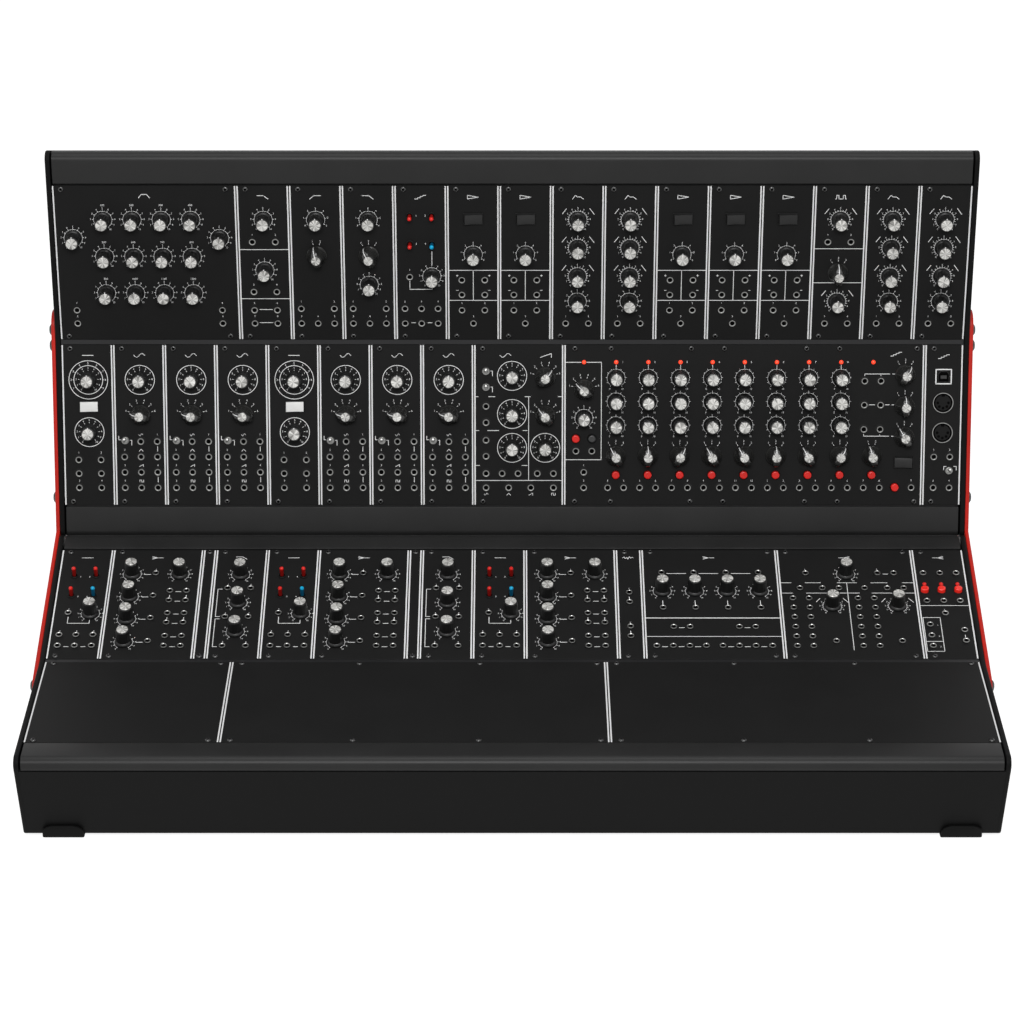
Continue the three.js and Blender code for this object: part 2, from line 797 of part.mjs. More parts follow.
const attenuator_bank_shares = [
  ...grid('knob', [0.1425, 0.3787, 0.615, 0.853], [0.613]),
  ...grid('jack', [0.1425, 0.3787, 0.615, 0.853], [0.778, 0.454]),
  ...grid('jack', [0.212, 0.33, 0.685, 0.803], [0.279]),
  ...grid('jack', [0.083, 0.2016, 0.3202, 0.4388, 0.5574, 0.676, 0.7946, 0.9132], [0.108]),
];
const interface_shares = [
  ...grid('jack', [0.2, 0.728, 0.848], [0.773]),
  ['knob', 0.496, 0.77],
  ...grid('jack', [0.15, 0.313, 0.434, 0.6215, 0.7865, 0.907], [0.633]),
  ...grid('knob', [0.373, 0.849], [0.4755]),
  ...grid('jack', [0.0915, 0.208, 0.565, 0.684], [0.539, 0.454, 0.367, 0.279, 0.192, 0.107]),
  ...grid('jack', [0.375, 0.848], [0.151]),
];
const sequential_switch_shares = [
  ...grid('jack', [0.17, 0.49, 0.805], [0.773, 0.516]),
  ['button', 0.16, 0.618, 0, 'switch_select_button'],
  ...grid('button', [0.482, 0.802], [0.618]),
  ['jack', 0.487, 0.402],
  ...grid('jack', [0.17], [0.3, 0.2016, 0.108]),
  ...grid('jack', [0.806], [0.25, 0.154]),
  ...grid('lamp', [0.17, 0.49, 0.805], [0.675]),
];

// The same layouts with one control of each kind free to move
const firstMoves = (shares, kind, name) => {
  const i = shares.findIndex((control) => control[0] === kind);
  const [, across, up, turn = 0] = shares[i];
  return shares.with(i, [kind, across, up, turn, name]);
};

// Each row lists its modules from the left: name, width in units, copies, places
const rows = {
  upperRear: [
    ['fixed_filter_bank', 28, 1, bank_shares],
    ['dual_filter', 8, 1, dual_filter_shares],
    ['high_pass_filter', 8, 1, high_pass_shares],
    ['low_pass_filter', 8, 1, low_pass_shares],
    ['control_voltage_panel', 8, 1, control_voltage_shares],
    ['amplifier_pair', 8, 2, firstMoves(amplifier_shares, 'rocker', 'amplifier_rocker')],
    ['envelope_pair_left', 8, 2, envelope_shares],
    ['amplifier_trio', 8, 3, amplifier_shares],
    ['trigger_delay', 8, 1, delay_shares],
    ['envelope_pair_right', 8, 2, envelope_shares],
  ],
  upperFront: [
    ['oscillator_driver_left', 8, 1, firstMoves(driver_shares, 'rocker', 'driver_octave_rocker')],
    ['oscillator_trio_left', 8, 3, firstMoves(
      firstMoves(oscillator_shares, 'toggle', 'oscillator_sync_toggle'),
      'pointer',
      'oscillator_range_pointer',
    )],
    ['oscillator_driver_right', 8, 1, driver_shares],
    ['oscillator_trio_right', 8, 3, oscillator_shares],
    ['voltage_oscillator', 14, 1, voltage_oscillator_shares],
    ['sequencer', 56, 1, sequencer_shares],
    ['note_converter', 6, 1, converter_shares],
  ],
  lowerRear: [
    ['oscillator_control_left', 8, 1, oscillator_control_shares],
    ['mixer_left', 14, 1, firstMoves(mixer_shares, 'knob', 'mixer_level_knob')],
    ['filler_left', 2, 1, []],
    ['attenuator_left', 8, 1, attenuator_shares],
    ['oscillator_control_centre', 8, 1, oscillator_control_shares],
    ['mixer_centre', 14, 1, mixer_shares],
    ['filler_right', 2, 1, []],
    ['attenuator_right', 8, 1, attenuator_shares],
    ['oscillator_control_right', 8, 1, oscillator_control_shares],
    ['mixer_right', 14, 1, mixer_shares],
    ['random_generator', 4, 1, random_shares],
    ['attenuator_bank', 21, 1, attenuator_bank_shares],
    ['interface_panel', 21, 1, interface_shares],
    ['sequential_switch', 8, 1, sequential_switch_shares],
  ],
  lowerFront: [
    ['blank_panel_narrow', 28, 1, []],
    ['blank_panel_left', 56, 1, []],
    ['blank_panel_right', 56, 1, []],
  ],
};

const whiteRockers = ['driver_octave_rocker'];

// The circuit board behind a panel, with the sockets and pots that fill the space up to it
function boardBehindPanel(width) {
  const wide = width - 2 * boardInset;
  const tall = panelHeight * boardTallShare;
  const back = -panelThick - boardDepth;
  return solid(box(wide, tall, boardDepth, width / 2, panelHeight / 2, back));
}

// One module, or several alike side by side, as one faceplate with hairline seams
function moduleMeshes([name, units, copies, shares]) {
  const width = units * unitWidth;
  const full = width * copies - hairline;
  const group = new THREE.Group();
  const adds = [];
  const cuts = [];
  const seam = (x) => box(hairline, 2 * panelHeight, cutOverrun, x, panelHeight / 2, -seamDepth);
  for (let copy = 0; copy < copies; copy += 1) {
    const start = copy * width;
    if (copy) {
      cuts.push(seam(start - hairline / 2));
    }
    for (const [kind, across, up, turn, moverName] of shares) {
      const x = start + across * width - hairline / 2;
      const y = up * panelHeight;
      const moves = moverName && copy === 0;
      const look = whiteRockers.includes(moverName) ? 'white' : undefined;
      const made = moves ? moving[kind](x, y, turn, look) : fixed[kind](x, y, turn);
      adds.push(made.add);
      cuts.push(made.cut);
      if (moves) {
        const mover = toMesh(made.body, moverName, made.look);
        mover.position.set(x, y, 0);
        group.add(mover);
      }
    }
  }
  const plate = solid(box(full, panelHeight, panelThick, full / 2, panelHeight / 2, -panelThick));
  const board = shares.length ? [boardBehindPanel(full)] : [];
  const whole = together([plate, ...board, ...adds.filter(Boolean).map(solid)]);
  const faceplate = cuts.filter(Boolean).reduce((rest, cut) => rest.subtract(solid(cut)), whole);
  group.add(toMesh(faceplate, name, 'panel'));
  return group;
}

function rowGroup(modules, row) {
  const group = new THREE.Group();
  let across = (hairline - rowWidth) / 2;
  for (const entry of modules) {
    const placed = moduleMeshes(entry);
    placed.position.x = across;
    group.add(placed);
    across += entry[1] * entry[2] * unitWidth;
  }
  group.position.set(0, row.start.x, row.start.y);
  group.rotation.x = row.angle;
  return group;
}

function caseGroup(prefix, rearEnd, rearModules, frontModules, boltPlaces) {
  const group = new THREE.Group();
  group.add(
    tray(`${prefix}_tray`, rearEnd, boltPlaces),
    lip(`${prefix}_front_lip`, frontEnd),
    lip(`${prefix}_rear_lip`, rearEnd),
    middleRail(`${prefix}_middle_rail`),
    rowGroup(rearModules, rearRow),
    rowGroup(frontModules, frontRow),
  );
  return group;
}

const synthesizer = new THREE.Group();
const stack = new THREE.Group();
synthesizer.add(stack);

const lowerCase = caseGroup('lower', lowerRearEnd, rows.lowerRear, rows.lowerFront, lowerBoltPlaces);
lowerCase.add(
  foot('foot_front_left', frontEnd, -1),
  foot('foot_front_right', frontEnd, 1),
  foot('foot_rear_left', lowerRearEnd, -1),
  foot('foot_rear_right', lowerRearEnd, 1),
);

const upperCase = caseGroup('upper', upperRearEnd, rows.upperRear, rows.upperFront, upperBoltPlaces);
upperCase.rotation.x = standAngle;
upperCase.position.set(0, upperStart.x, upperStart.y);

stack.add(lowerCase, upperCase, bracket('bracket_left', -1), bracket('bracket_right', 1));

// Origin: middle of the footprint of the whole synthesizer, on the table
const reach = new THREE.Box3().setFromObject(stack, true);
stack.position.set(0, -(reach.min.y + reach.max.y) / 2, -reach.min.z);

export default synthesizer;
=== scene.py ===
# %% [markdown]
# # A modular synthesizer in two tiers
# The instrument is two shallow metal cases, each bent between its two rows of panel
# modules, and a pair of red side brackets that stands one case above the other. The
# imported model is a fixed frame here: it says where every piece is, and this lesson
# gives each piece its fine surface and its finish. New surfaces are worked out with
# numpy as whole arrays, because a panel full of controls is the same few forms
# carried to hundreds of places.

# %% Load the fixed frame
import itertools
import math

import bpy
import numpy as np
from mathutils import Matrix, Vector
from mathutils.geometry import tessellate_polygon


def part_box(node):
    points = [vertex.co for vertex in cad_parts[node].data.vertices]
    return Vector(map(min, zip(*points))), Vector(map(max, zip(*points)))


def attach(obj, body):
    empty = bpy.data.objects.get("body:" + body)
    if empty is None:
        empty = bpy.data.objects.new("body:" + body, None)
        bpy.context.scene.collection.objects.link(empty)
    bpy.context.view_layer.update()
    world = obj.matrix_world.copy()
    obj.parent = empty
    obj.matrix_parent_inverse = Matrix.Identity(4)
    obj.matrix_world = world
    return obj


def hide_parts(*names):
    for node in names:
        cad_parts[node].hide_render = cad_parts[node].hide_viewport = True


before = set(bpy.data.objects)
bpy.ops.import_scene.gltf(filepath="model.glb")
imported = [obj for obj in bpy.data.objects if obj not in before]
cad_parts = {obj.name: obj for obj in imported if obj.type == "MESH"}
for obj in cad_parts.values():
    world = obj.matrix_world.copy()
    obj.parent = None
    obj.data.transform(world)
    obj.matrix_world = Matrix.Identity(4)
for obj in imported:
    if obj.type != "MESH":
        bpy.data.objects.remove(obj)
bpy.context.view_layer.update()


# %% [markdown]
# ## Sizes of the panel system
# Panels of this kind follow one rack standard: 128.5 mm high, on a unit of 5.08 mm.
# All sizes are written in millimetres, as a maker would, and turned to metres only
# when a mesh is made.

# %% Driving sizes in millimetres
MM = 0.001
UNIT = 5.08
ROW_UNITS = 140
PANEL_HEIGHT = 128.5
PANEL_THICK = 2.0
SEAM = 0.3
ROW_GAP = 4.2
BEND = math.radians(15)
STAND_ANGLE = math.radians(76)
STAND_AHEAD = 33.45
STAND_RISE = 18.56
ROW_WIDTH = UNIT * ROW_UNITS

# %% [markdown]
# ## Where each row lies
# A row is a flat frame of its own: x across, y up the panels and z out of them. One
# matrix for each row carries its controls into the world, so a control's place is
# typed once, as it is measured on the panel. The front row of the lower case is read
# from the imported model, and the other rows follow from the bends.

# %% Row matrices
def tilt(angle, along=0.0, up=0.0):
    """A turn about the x axis by angle, then a move along y and up z, as a 4x4 matrix."""
    matrix = np.eye(4)
    matrix[1:3, 1:3] = [[math.cos(angle), -math.sin(angle)], [math.sin(angle), math.cos(angle)]]
    matrix[1:3, 3] = along, up
    return matrix


def carried(points, matrix):
    """Points of shape (n, 3) moved by a 4x4 matrix."""
    return points @ matrix[:3, :3].T + matrix[:3, 3]


blank_low, blank_high = (np.array(corner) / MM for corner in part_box("blank_panel_left"))
LOWER_CASE = tilt(0, blank_low[1], blank_high[2])
HINGE_LINE = PANEL_HEIGHT + ROW_GAP * math.cos(BEND / 2), ROW_GAP * math.sin(BEND / 2)
REAR_ROW = tilt(BEND, *HINGE_LINE)
UPPER_START = carried(np.array([[0, PANEL_HEIGHT + STAND_AHEAD, STAND_RISE]]), REAR_ROW)[0]
UPPER_CASE = LOWER_CASE @ tilt(STAND_ANGLE, UPPER_START[1], UPPER_START[2])
CASES = {"lower": LOWER_CASE, "upper": UPPER_CASE}
ROWS = {
    "lower_front": LOWER_CASE,
    "lower_rear": LOWER_CASE @ REAR_ROW,
    "upper_front": UPPER_CASE,
    "upper_rear": UPPER_CASE @ REAR_ROW,
}
print("table to lowest panel face, mm", round(float(blank_high[2]), 1))

# %% [markdown]
# ## The camera
# A long lens of about 121 mm looks down by 24.5 degrees from 2.6 m away, square to
# the middle of the instrument. It is set first, so that every later render can be
# compared with the photograph.

# %% Camera
LENS_MM = 120.74
SENSOR_MM = 36.0
CAMERA_PITCH = math.radians(24.505)
CAMERA_BACK = 2201.1
CAMERA_RISE = 1187.3
CAMERA_SHIFT = -0.0003

camera_data = bpy.data.cameras.new("studio_camera")
camera_data.lens = LENS_MM
camera_data.sensor_width = SENSOR_MM
camera_data.shift_x = CAMERA_SHIFT
camera = bpy.data.objects.new("studio_camera", camera_data)
camera.location = (0, (blank_low[1] - CAMERA_BACK) * MM, (blank_high[2] + CAMERA_RISE) * MM)
camera.rotation_euler = (math.pi / 2 - CAMERA_PITCH, 0, 0)
bpy.context.scene.collection.objects.link(camera)
bpy.context.scene.camera = camera

# %% [markdown]
# ## Forms: points and faces before they are a mesh
# A form is a pair of arrays: points in millimetres, and faces of three or four
# corners, where -1 fills the fourth corner of a triangle. Copies and joins are then
# plain array arithmetic. Each face also carries the number of its finish, so one
# piece can be black with an aluminium cap.

# %% The form, its copies and its mesh
class Form:
    """Points (n, 3) in millimetres, faces (m, 4) with -1 for no fourth corner, finishes (m,).

    local (n, 3) keeps each point's place about its own axis, whatever the form is moved
    to, and the number of its knob.
    """

    def __init__(self, points, faces, finish=0, local=None):
        self.points = np.asarray(points, float)
        self.faces = np.asarray(faces, int)
        self.finishes = np.broadcast_to(finish, len(self.faces)).copy()
        self.local = self.points * (1, 1, 0) if local is None else local

    def moved(self, matrix):
        """The same form with its points carried by a matrix."""
        return Form(carried(self.points, matrix), self.faces, self.finishes, self.local)

    def copies(self, places):
        """One form that holds a copy at each place of a (k, 3) array of shifts."""
        places = np.asarray(places, float).reshape(-1, 3)
        count, size = len(places), len(self.points)
        points = (self.points[None] + places[:, None]).reshape(-1, 3)
        shift = (np.arange(count) * size)[:, None, None]
        faces = np.where(self.faces[None] < 0, -1, self.faces[None] + shift).reshape(-1, 4)
        return Form(points, faces, np.tile(self.finishes, count), np.tile(self.local, (count, 1)))


def joined(forms):
    """All forms as one, with the face numbers of each moved past those before it."""
    forms = list(forms)
    shifts = np.cumsum([0] + [len(form.points) for form in forms[:-1]])
    faces = np.concatenate([np.where(f.faces < 0, -1, f.faces + s) for f, s in zip(forms, shifts)])
    points, finishes, local = (np.concatenate([getattr(f, key) for f in forms])
                               for key in ("points", "finishes", "local"))
    return Form(points, faces, finishes, local)


def numbered(form, number):
    """The same form under a number of its own, so that no two caps look alike."""
    return Form(form.points, form.faces, form.finishes, form.local * (1, 1, 0) + (0, 0, number))


def spin(angle):
    """A turn about z by an angle in radians, as a 4x4 matrix."""
    matrix = np.eye(4)
    matrix[:2, :2] = [[math.cos(angle), -math.sin(angle)], [math.sin(angle), math.cos(angle)]]
    return matrix


def at(x, y, z=0.0):
    """A shift, as a 4x4 matrix."""
    matrix = np.eye(4)
    matrix[:3, 3] = x, y, z
    return matrix


SHARP = math.radians(38)
NUMBER_STEP = 10
ON_AXIS = 0.05


def unrolled(form):
    """For each corner of each face: angle about its own axis / full turn, and radius + step number.

    Angles count from the middle of the face, so no face is torn where a turn begins again.
    """
    corners = form.faces[form.faces >= 0]
    face = np.nonzero(form.faces >= 0)[0]
    x, y, number = form.local[corners].T
    radius = np.hypot(x, y)
    count = np.bincount(face)
    middle = np.arctan2(np.bincount(face, y) / count, np.bincount(face, x) / count)[face]
    angle = np.where(radius > ON_AXIS, np.arctan2(y, x) - middle, 0)
    angle = (angle + math.pi) % (2 * math.pi) - math.pi + middle
    return np.column_stack([angle / (2 * math.pi), radius + NUMBER_STEP * number])


def make_piece(name, form, finishes, body="case", stands_for=()):
    """Turns a form into a mesh object at the origin, gives it its finishes and its body."""
    mesh = bpy.data.meshes.new(name)
    rows = form.faces.tolist()
    mesh.from_pydata(form.points * MM, [], [row[:3] if row[3] < 0 else row for row in rows])
    for finish in finishes:
        mesh.materials.append(finish)
    mesh.polygons.foreach_set("material_index", form.finishes.astype(np.int32))
    mesh.polygons.foreach_set("use_smooth", np.ones(len(rows), bool))
    grooves = mesh.uv_layers.new(name="grooves")
    grooves.uv.foreach_set("vector", unrolled(form).astype(np.float32).ravel())
    mesh.update()
    mesh.set_sharp_from_angle(angle=SHARP)
    piece = bpy.data.objects.new(name, mesh)
    bpy.context.scene.collection.objects.link(piece)
    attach(piece, body)
    if stands_for:
        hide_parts(*stands_for)


# %% [markdown]
# ## Two ways to make a form
# Most controls are turned parts, so a profile of radius and height is carried round
# the axis. What is not round, such as a rocker, its bezel or the square socket, is an
# outline carried upwards and drawn in at the edges. Both close themselves at the ends.

# %% Turned forms and stacked outlines
def rings_to_form(rings, finish=0, hollow=False):
    """Joins rings of equal length, shape (levels, sides, 3), by four-cornered faces.

    The first and the last ring are closed by fans to their middle point, or in a hollow
    form the last ring joins on to the first.
    """
    if hollow:
        rings = np.concatenate([rings, rings[:1]])
    levels, sides, _ = rings.shape
    around = np.arange(sides)
    after = (around + 1) % sides
    base = (np.arange(levels - 1) * sides)[:, None]
    walls = np.stack([base + around, base + after, base + sides + after, base + sides + around], -1)
    walls = walls.reshape(-1, 4)
    steps = np.repeat(finish, sides) if np.ndim(finish) else finish
    if hollow:
        return Form(rings[:-1].reshape(-1, 3), walls % ((levels - 1) * sides), steps)
    low, high = levels * sides, levels * sides + 1
    top = (levels - 1) * sides
    none = np.full(sides, -1)
    floor = np.stack([after, around, np.full(sides, low), none], -1)
    lid = np.stack([top + around, top + after, np.full(sides, high), none], -1)
    middles = np.stack([rings[0].mean(0), rings[-1].mean(0)])
    points = np.concatenate([rings.reshape(-1, 3), middles])
    if np.ndim(finish):
        steps = np.concatenate([steps, np.full(sides, finish[0]), np.full(sides, finish[-1])])
    return Form(points, np.concatenate([walls, floor, lid]), steps)


def round_about(radius, angle, height):
    """Points (r cos a, r sin a, z), in the shape that the three arrays give together."""
    return np.stack(np.broadcast_arrays(radius * np.cos(angle), radius * np.sin(angle), height), -1)


def turned(profile, sides, finish, hollow=False):
    """A surface of revolution: the radius r(t) turned by every angle at the height z(t).

    profile is a list of (radius, height) from the lowest ring to the highest, and finish
    is one number, or one for each step of the profile. A hollow form is a ring whose
    profile closes on itself, up its outside and down its inside.
    """
    radius, height = np.array(profile, float).T
    angle = np.arange(sides) * 2 * math.pi / sides
    return rings_to_form(round_about(radius[:, None], angle, height[:, None]), finish, hollow)


def level_at(outline, height):
    """An outline (k, 2) as points (k, 3) at one height."""
    return np.column_stack([outline, np.full(len(outline), height)])


def stacked(outline, levels, finish, hollow=False):
    """An outline (k, 2), counter-clockwise, carried up through levels of (inset, height).

    Each point of a level is moved towards the middle along both axes by the inset.
    """
    outline = np.array(outline, float)
    half = np.abs(outline).max(0)
    rings = [level_at(outline * (half - inset) / half, z) for inset, z in levels]
    return rings_to_form(np.array(rings), finish, hollow)


CORNER_STEPS = 3


def rectangle(width, tall, corner=0.0):
    """A rectangle about the origin whose corners are arcs: middle + corner (cos a, sin a)."""
    if not corner:
        w, h = width / 2, tall / 2
        return [(w, -h), (w, 0), (w, h), (0, h), (-w, h), (-w, 0), (-w, -h), (0, -h)]
    points = []
    for quarter, (sx, sy) in enumerate([(1, 1), (-1, 1), (-1, -1), (1, -1)]):
        angle = (quarter + np.arange(CORNER_STEPS + 1) / CORNER_STEPS) * math.pi / 2
        x = sx * (width / 2 - corner) + corner * np.cos(angle)
        y = sy * (tall / 2 - corner) + corner * np.sin(angle)
        points += list(zip(x, y))
    return points


# %% [markdown]
# ## Finishes
# Each finish starts from what the real surface is and how it was made. Colours are
# written as sRGB hex, as a paint card gives them, and one function turns them to the
# linear light that the shader works in. Patterns read Object coordinates, which are
# metres here, so a grain of 0.6 mm is a scale of one over 0.0006.

# %% Colour and node helpers
def linear(code):
    """sRGB hex to linear: c / 12.92 below 0.04045, else ((c + 0.055) / 1.055) ** 2.4."""
    channels = [int(code[i : i + 2], 16) / 255 for i in (1, 3, 5)]
    return (*[c / 12.92 if c <= 0.04045 else ((c + 0.055) / 1.055) ** 2.4 for c in channels], 1.0)


def feed(tree, node, sockets):
    """Links or fills the sockets of a node, by name or number."""
    for key, value in dict(sockets).items():
        if isinstance(value, bpy.types.NodeSocket):
            tree.links.new(value, node.inputs[key])
        else:
            node.inputs[key].default_value = value


def add_node(tree, kind, sockets=(), **settings):
    """Adds a node, sets its properties and feeds its sockets."""
    node = tree.nodes.new(kind)
    for key, value in settings.items():
        setattr(node, key, value)
    feed(tree, node, sockets)
    return node


def new_material(name):
    """A new material, its node tree and its shader."""
    material = bpy.data.materials.new(name)
    material.use_nodes = True
    return material, material.node_tree, material.node_tree.nodes["Principled BSDF"]


def worked_out(tree, operation, *values):
    """The output of a maths node."""
    return add_node(tree, "ShaderNodeMath", enumerate(values), operation=operation).outputs[0]


def mapped(tree, value, start, end, low=0.0, high=1.0):
    """A value carried from the range start to end into the range low to high."""
    sockets = {"Value": value, "From Min": start, "From Max": end, "To Min": low, "To Max": high}
    return add_node(tree, "ShaderNodeMapRange", sockets).outputs[0]


def noise(tree, where, scale, detail, **more):
    """A noise texture read at a place."""
    sockets = {"Vector": where, "Scale": scale, "Detail": detail, **more}
    return add_node(tree, "ShaderNodeTexNoise", sockets).outputs["Fac"]


def per_mm(size):
    """The texture scale at which one feature is this many millimetres."""
    return 1 / (size * MM)


# %% [markdown]
# ### Coated and moulded surfaces
# Powder coat melts into a fine orange peel, anodised sheet keeps the faint grain of
# the rolled metal, and moulded plastic takes the spark-eroded grain of its tool. All
# three are the same idea at other scales: a little noise in the height, and slower
# noise that moves the colour and the gloss, as handling and dust do.

# %% Coated or moulded surface
PATCH_RANGE = (0.3, 0.7)


def surface(name, code, roughness, grain, depth, metallic=0.0, gloss=0.5, wear=0.1, patch=40.0):
    """A finish with grain of a size and depth in mm, and slow patches of gloss and tone."""
    material, tree, shader = new_material(name)
    where = add_node(tree, "ShaderNodeTexCoord").outputs["Object"]
    slow = noise(tree, where, per_mm(patch), 4.0)
    fine = noise(tree, where, per_mm(grain), 2.0)
    tone = mapped(tree, slow, *PATCH_RANGE, 1 - wear, 1 + wear)
    polish = mapped(tree, slow, *PATCH_RANGE, roughness * (1 - wear / 2), roughness * (1 + wear / 2))
    shade = add_node(tree, "ShaderNodeVectorMath", {0: linear(code)[:3], "Scale": tone}, operation="SCALE")
    bump = add_node(tree, "ShaderNodeBump", {"Height": fine, "Strength": 1.0, "Distance": depth * MM})
    feed(tree, shader, {
        "Base Color": shade.outputs[0], "Roughness": polish, "Normal": bump.outputs[0],
        "Metallic": metallic, "Specular IOR Level": gloss,
    })
    return material


powder_black = surface("powder_coat_black", "#131313", 0.5, 0.7, 0.02, gloss=0.05)
satin_black = surface("satin_coat_black", "#252525", 0.38, 0.7, 0.008, gloss=0.16)
powder_red = surface("powder_coat_red", "#c01f12", 0.42, 0.7, 0.015, gloss=0.25)
anodised_panel = surface("anodised_black_panel", "#1e1e1e", 0.5, 0.35, 0.006, gloss=0.05, wear=0.07)
anodised_rail = surface("anodised_black_rail", "#232324", 0.42, 0.4, 0.006, metallic=0.3, gloss=0.3)
moulded_black = surface("moulded_abs_black", "#101010", 0.38, 0.3, 0.008, gloss=0.5)
phenolic_black = surface("phenolic_black", "#2b2b2a", 0.24, 0.4, 0.004, gloss=0.6)
rubber_black = surface("moulded_rubber_black", "#131313", 0.7, 0.9, 0.03, gloss=0.08)
# Near black for holes, slots and recesses: painted shade for their depth.
hole_shade_black = surface("painted_hole_shade_black", "#030303", 0.9, 0.5, 0.01, gloss=0.05)
washer_black = surface("washer_black_oxide", "#0c0c0c", 0.6, 0.3, 0.01, gloss=0.2)
rocker_black = surface("moulded_rocker_black", "#2c2c2c", 0.4, 0.3, 0.006, gloss=0.15)
screw_black = surface("screw_black_oxide", "#484848", 0.26, 0.3, 0.006, metallic=0.8)
ink_white = surface("screen_print_white", "#f2f2f2", 0.6, 0.25, 0.004, gloss=0.2, wear=0.05)
plastic_red = surface("polished_plastic_red", "#e4231c", 0.28, 0.4, 0.004, gloss=0.35, wear=0.05)
# The darker red and blue are painted shade on the lever sticks, below their lighter tips.
shaded_red_plastic = surface("painted_shade_plastic_red", "#8c1410", 0.4, 0.4, 0.008, gloss=0.2, wear=0.05)
plastic_blue = surface("polished_plastic_blue", "#06aee0", 0.3, 0.4, 0.004, gloss=0.35, wear=0.05)
shaded_blue_plastic = surface("painted_shade_plastic_blue", "#0b5474", 0.4, 0.4, 0.008, gloss=0.2, wear=0.05)
plastic_white = surface("polished_plastic_white", "#f0f0ee", 0.35, 0.4, 0.004, wear=0.04)
nickel = surface("nickel_plate", "#979795", 0.3, 0.5, 0.006, metallic=1.0, wear=0.14, patch=6.0)
circuit_green = surface("solder_resist_green", "#1d4a2c", 0.4, 0.6, 0.01)

# %% [markdown]
# ### Spun aluminium caps
# The cap on each knob is faced on a lathe, so its grooves run in circles and the
# light gathers into bright wedges. The shader's anisotropy needs to know which way the
# grooves run, and a map that unrolls each cap by angle and radius gives it. Soft even
# light hides most of that effect, so the bright and dark wedges of light are also
# painted into the colour as painted glints and painted shade: noise that is read on a
# circle, and so stays the same from the middle to the rim. A clear matt coat over the
# metal scatters some of the light, so the metal is not a full mirror.

# %% Spun aluminium
GLINT_WEDGE_SCALE = 2.3
GLINT_WEDGE_RANGE = (0.38, 0.6)


def spun_aluminium(name, dark, pale):
    """Painted glint wedges from noise at (cos a, sin a) and the cap's number, with a highlight along the grooves."""
    material, tree, shader = new_material(name)
    groove = add_node(tree, "ShaderNodeUVMap", uv_map="grooves")
    place = add_node(tree, "ShaderNodeSeparateXYZ", {0: groove.outputs[0]})
    angle = worked_out(tree, "MULTIPLY", place.outputs["X"], 2 * math.pi)
    number = worked_out(tree, "FLOOR", worked_out(tree, "MULTIPLY", place.outputs["Y"], 1 / NUMBER_STEP))
    circle_at = add_node(tree, "ShaderNodeCombineXYZ", enumerate(
        [worked_out(tree, "COSINE", angle), worked_out(tree, "SINE", angle), number]))
    glint_wedges = noise(tree, circle_at.outputs[0], GLINT_WEDGE_SCALE, 3.0, Roughness=0.65)
    sockets = {"Factor": mapped(tree, glint_wedges, *GLINT_WEDGE_RANGE), "A": linear(dark), "B": linear(pale)}
    shade = add_node(tree, "ShaderNodeMix", sockets, data_type="RGBA")
    along = add_node(tree, "ShaderNodeTangent", direction_type="UV_MAP", uv_map="grooves")
    feed(tree, shader, {
        "Base Color": shade.outputs["Result"], "Tangent": along.outputs[0],
        "Metallic": 0.2, "Roughness": 0.38, "Anisotropic": 0.6,
    })
    return material


# The dark and pale tones are the painted shade and the painted glint of the cap's wedges.
cap_aluminium = spun_aluminium("spun_aluminium", "#7c7b78", "#e6e5e1")

# %% [markdown]
# ### Lamps behind red lenses
# Small indicator lamps glow by themselves, so they get a little emission under a
# glossy red lens.

# %% Lit lens
def lit_lens(name, code, strength):
    """A glossy coloured lens that also gives off light of its own colour."""
    material = surface(name, code, 0.2, 0.5, 0.004, wear=0.03)
    tree = material.node_tree
    feed(tree, tree.nodes["Principled BSDF"], {"Emission Color": linear(code), "Emission Strength": strength})
    return material


lens_red = lit_lens("lit_lens_red", "#ff4326", 0.9)
button_lit = lit_lens("lit_button_red", "#e02a20", 0.25)

# One list of finishes serves every piece made of controls, and a form names its finish
# by its number here
CONTROL_FINISHES = [
    anodised_panel, ink_white, moulded_black, cap_aluminium, nickel, hole_shade_black, washer_black, phenolic_black,
    plastic_red, plastic_blue, plastic_white, lens_red, screw_black, button_lit, shaded_red_plastic, shaded_blue_plastic,
    rocker_black,
]
(
    PANEL, INK, KNOB, CAP, NICKEL, HOLE_SHADE, WASHER, POINTER, RED, BLUE, WHITE, LENS, SCREW, LIT, SHADED_RED, SHADED_BLUE,
    ROCKER,
) = range(len(CONTROL_FINISHES))
# A case or a panel has two finishes, its own and then that of its circuit board
BOARD = 1

# %% [markdown]
# ## The controls
# Each control is one small form about its own axis, with z out of the panel. The
# profile of a turned one reads from the panel upwards: radius, height.

# %% Round knob
KNOB_SIDES = 32
FLUTE_DEPTH = 0.3
FLUTE_FROM = 2.6
FLUTE_TO = 12.0
KNOB_PROFILE = [
    (5.4, 0.5), (6.55, 0.5), (6.68, 0.9), (6.5, 1.6), (5.65, 2.7), (5.25, 11.9), (5.05, 12.4), (4.5, 12.5),
    (4.4, 12.9), (4.4, 13.35), (4.15, 13.58), (0.35, 13.7),
]
KNOB_FINISH = [KNOB] * 8 + [CAP] * 3
SLAB_FACES = [(3, 2, 1, 0), (4, 5, 6, 7), (0, 1, 5, 4), (1, 2, 6, 5), (2, 3, 7, 6), (3, 0, 4, 7)]


def slab(x0, y0, x1, y1, low, high, finish):
    """A thin block between two corners and two heights, such as a printed bar."""
    square = [(x0, y0), (x1, y0), (x1, y1), (x0, y1)]
    return Form([(x, y, z) for z in (low, high) for x, y in square], SLAB_FACES, finish)


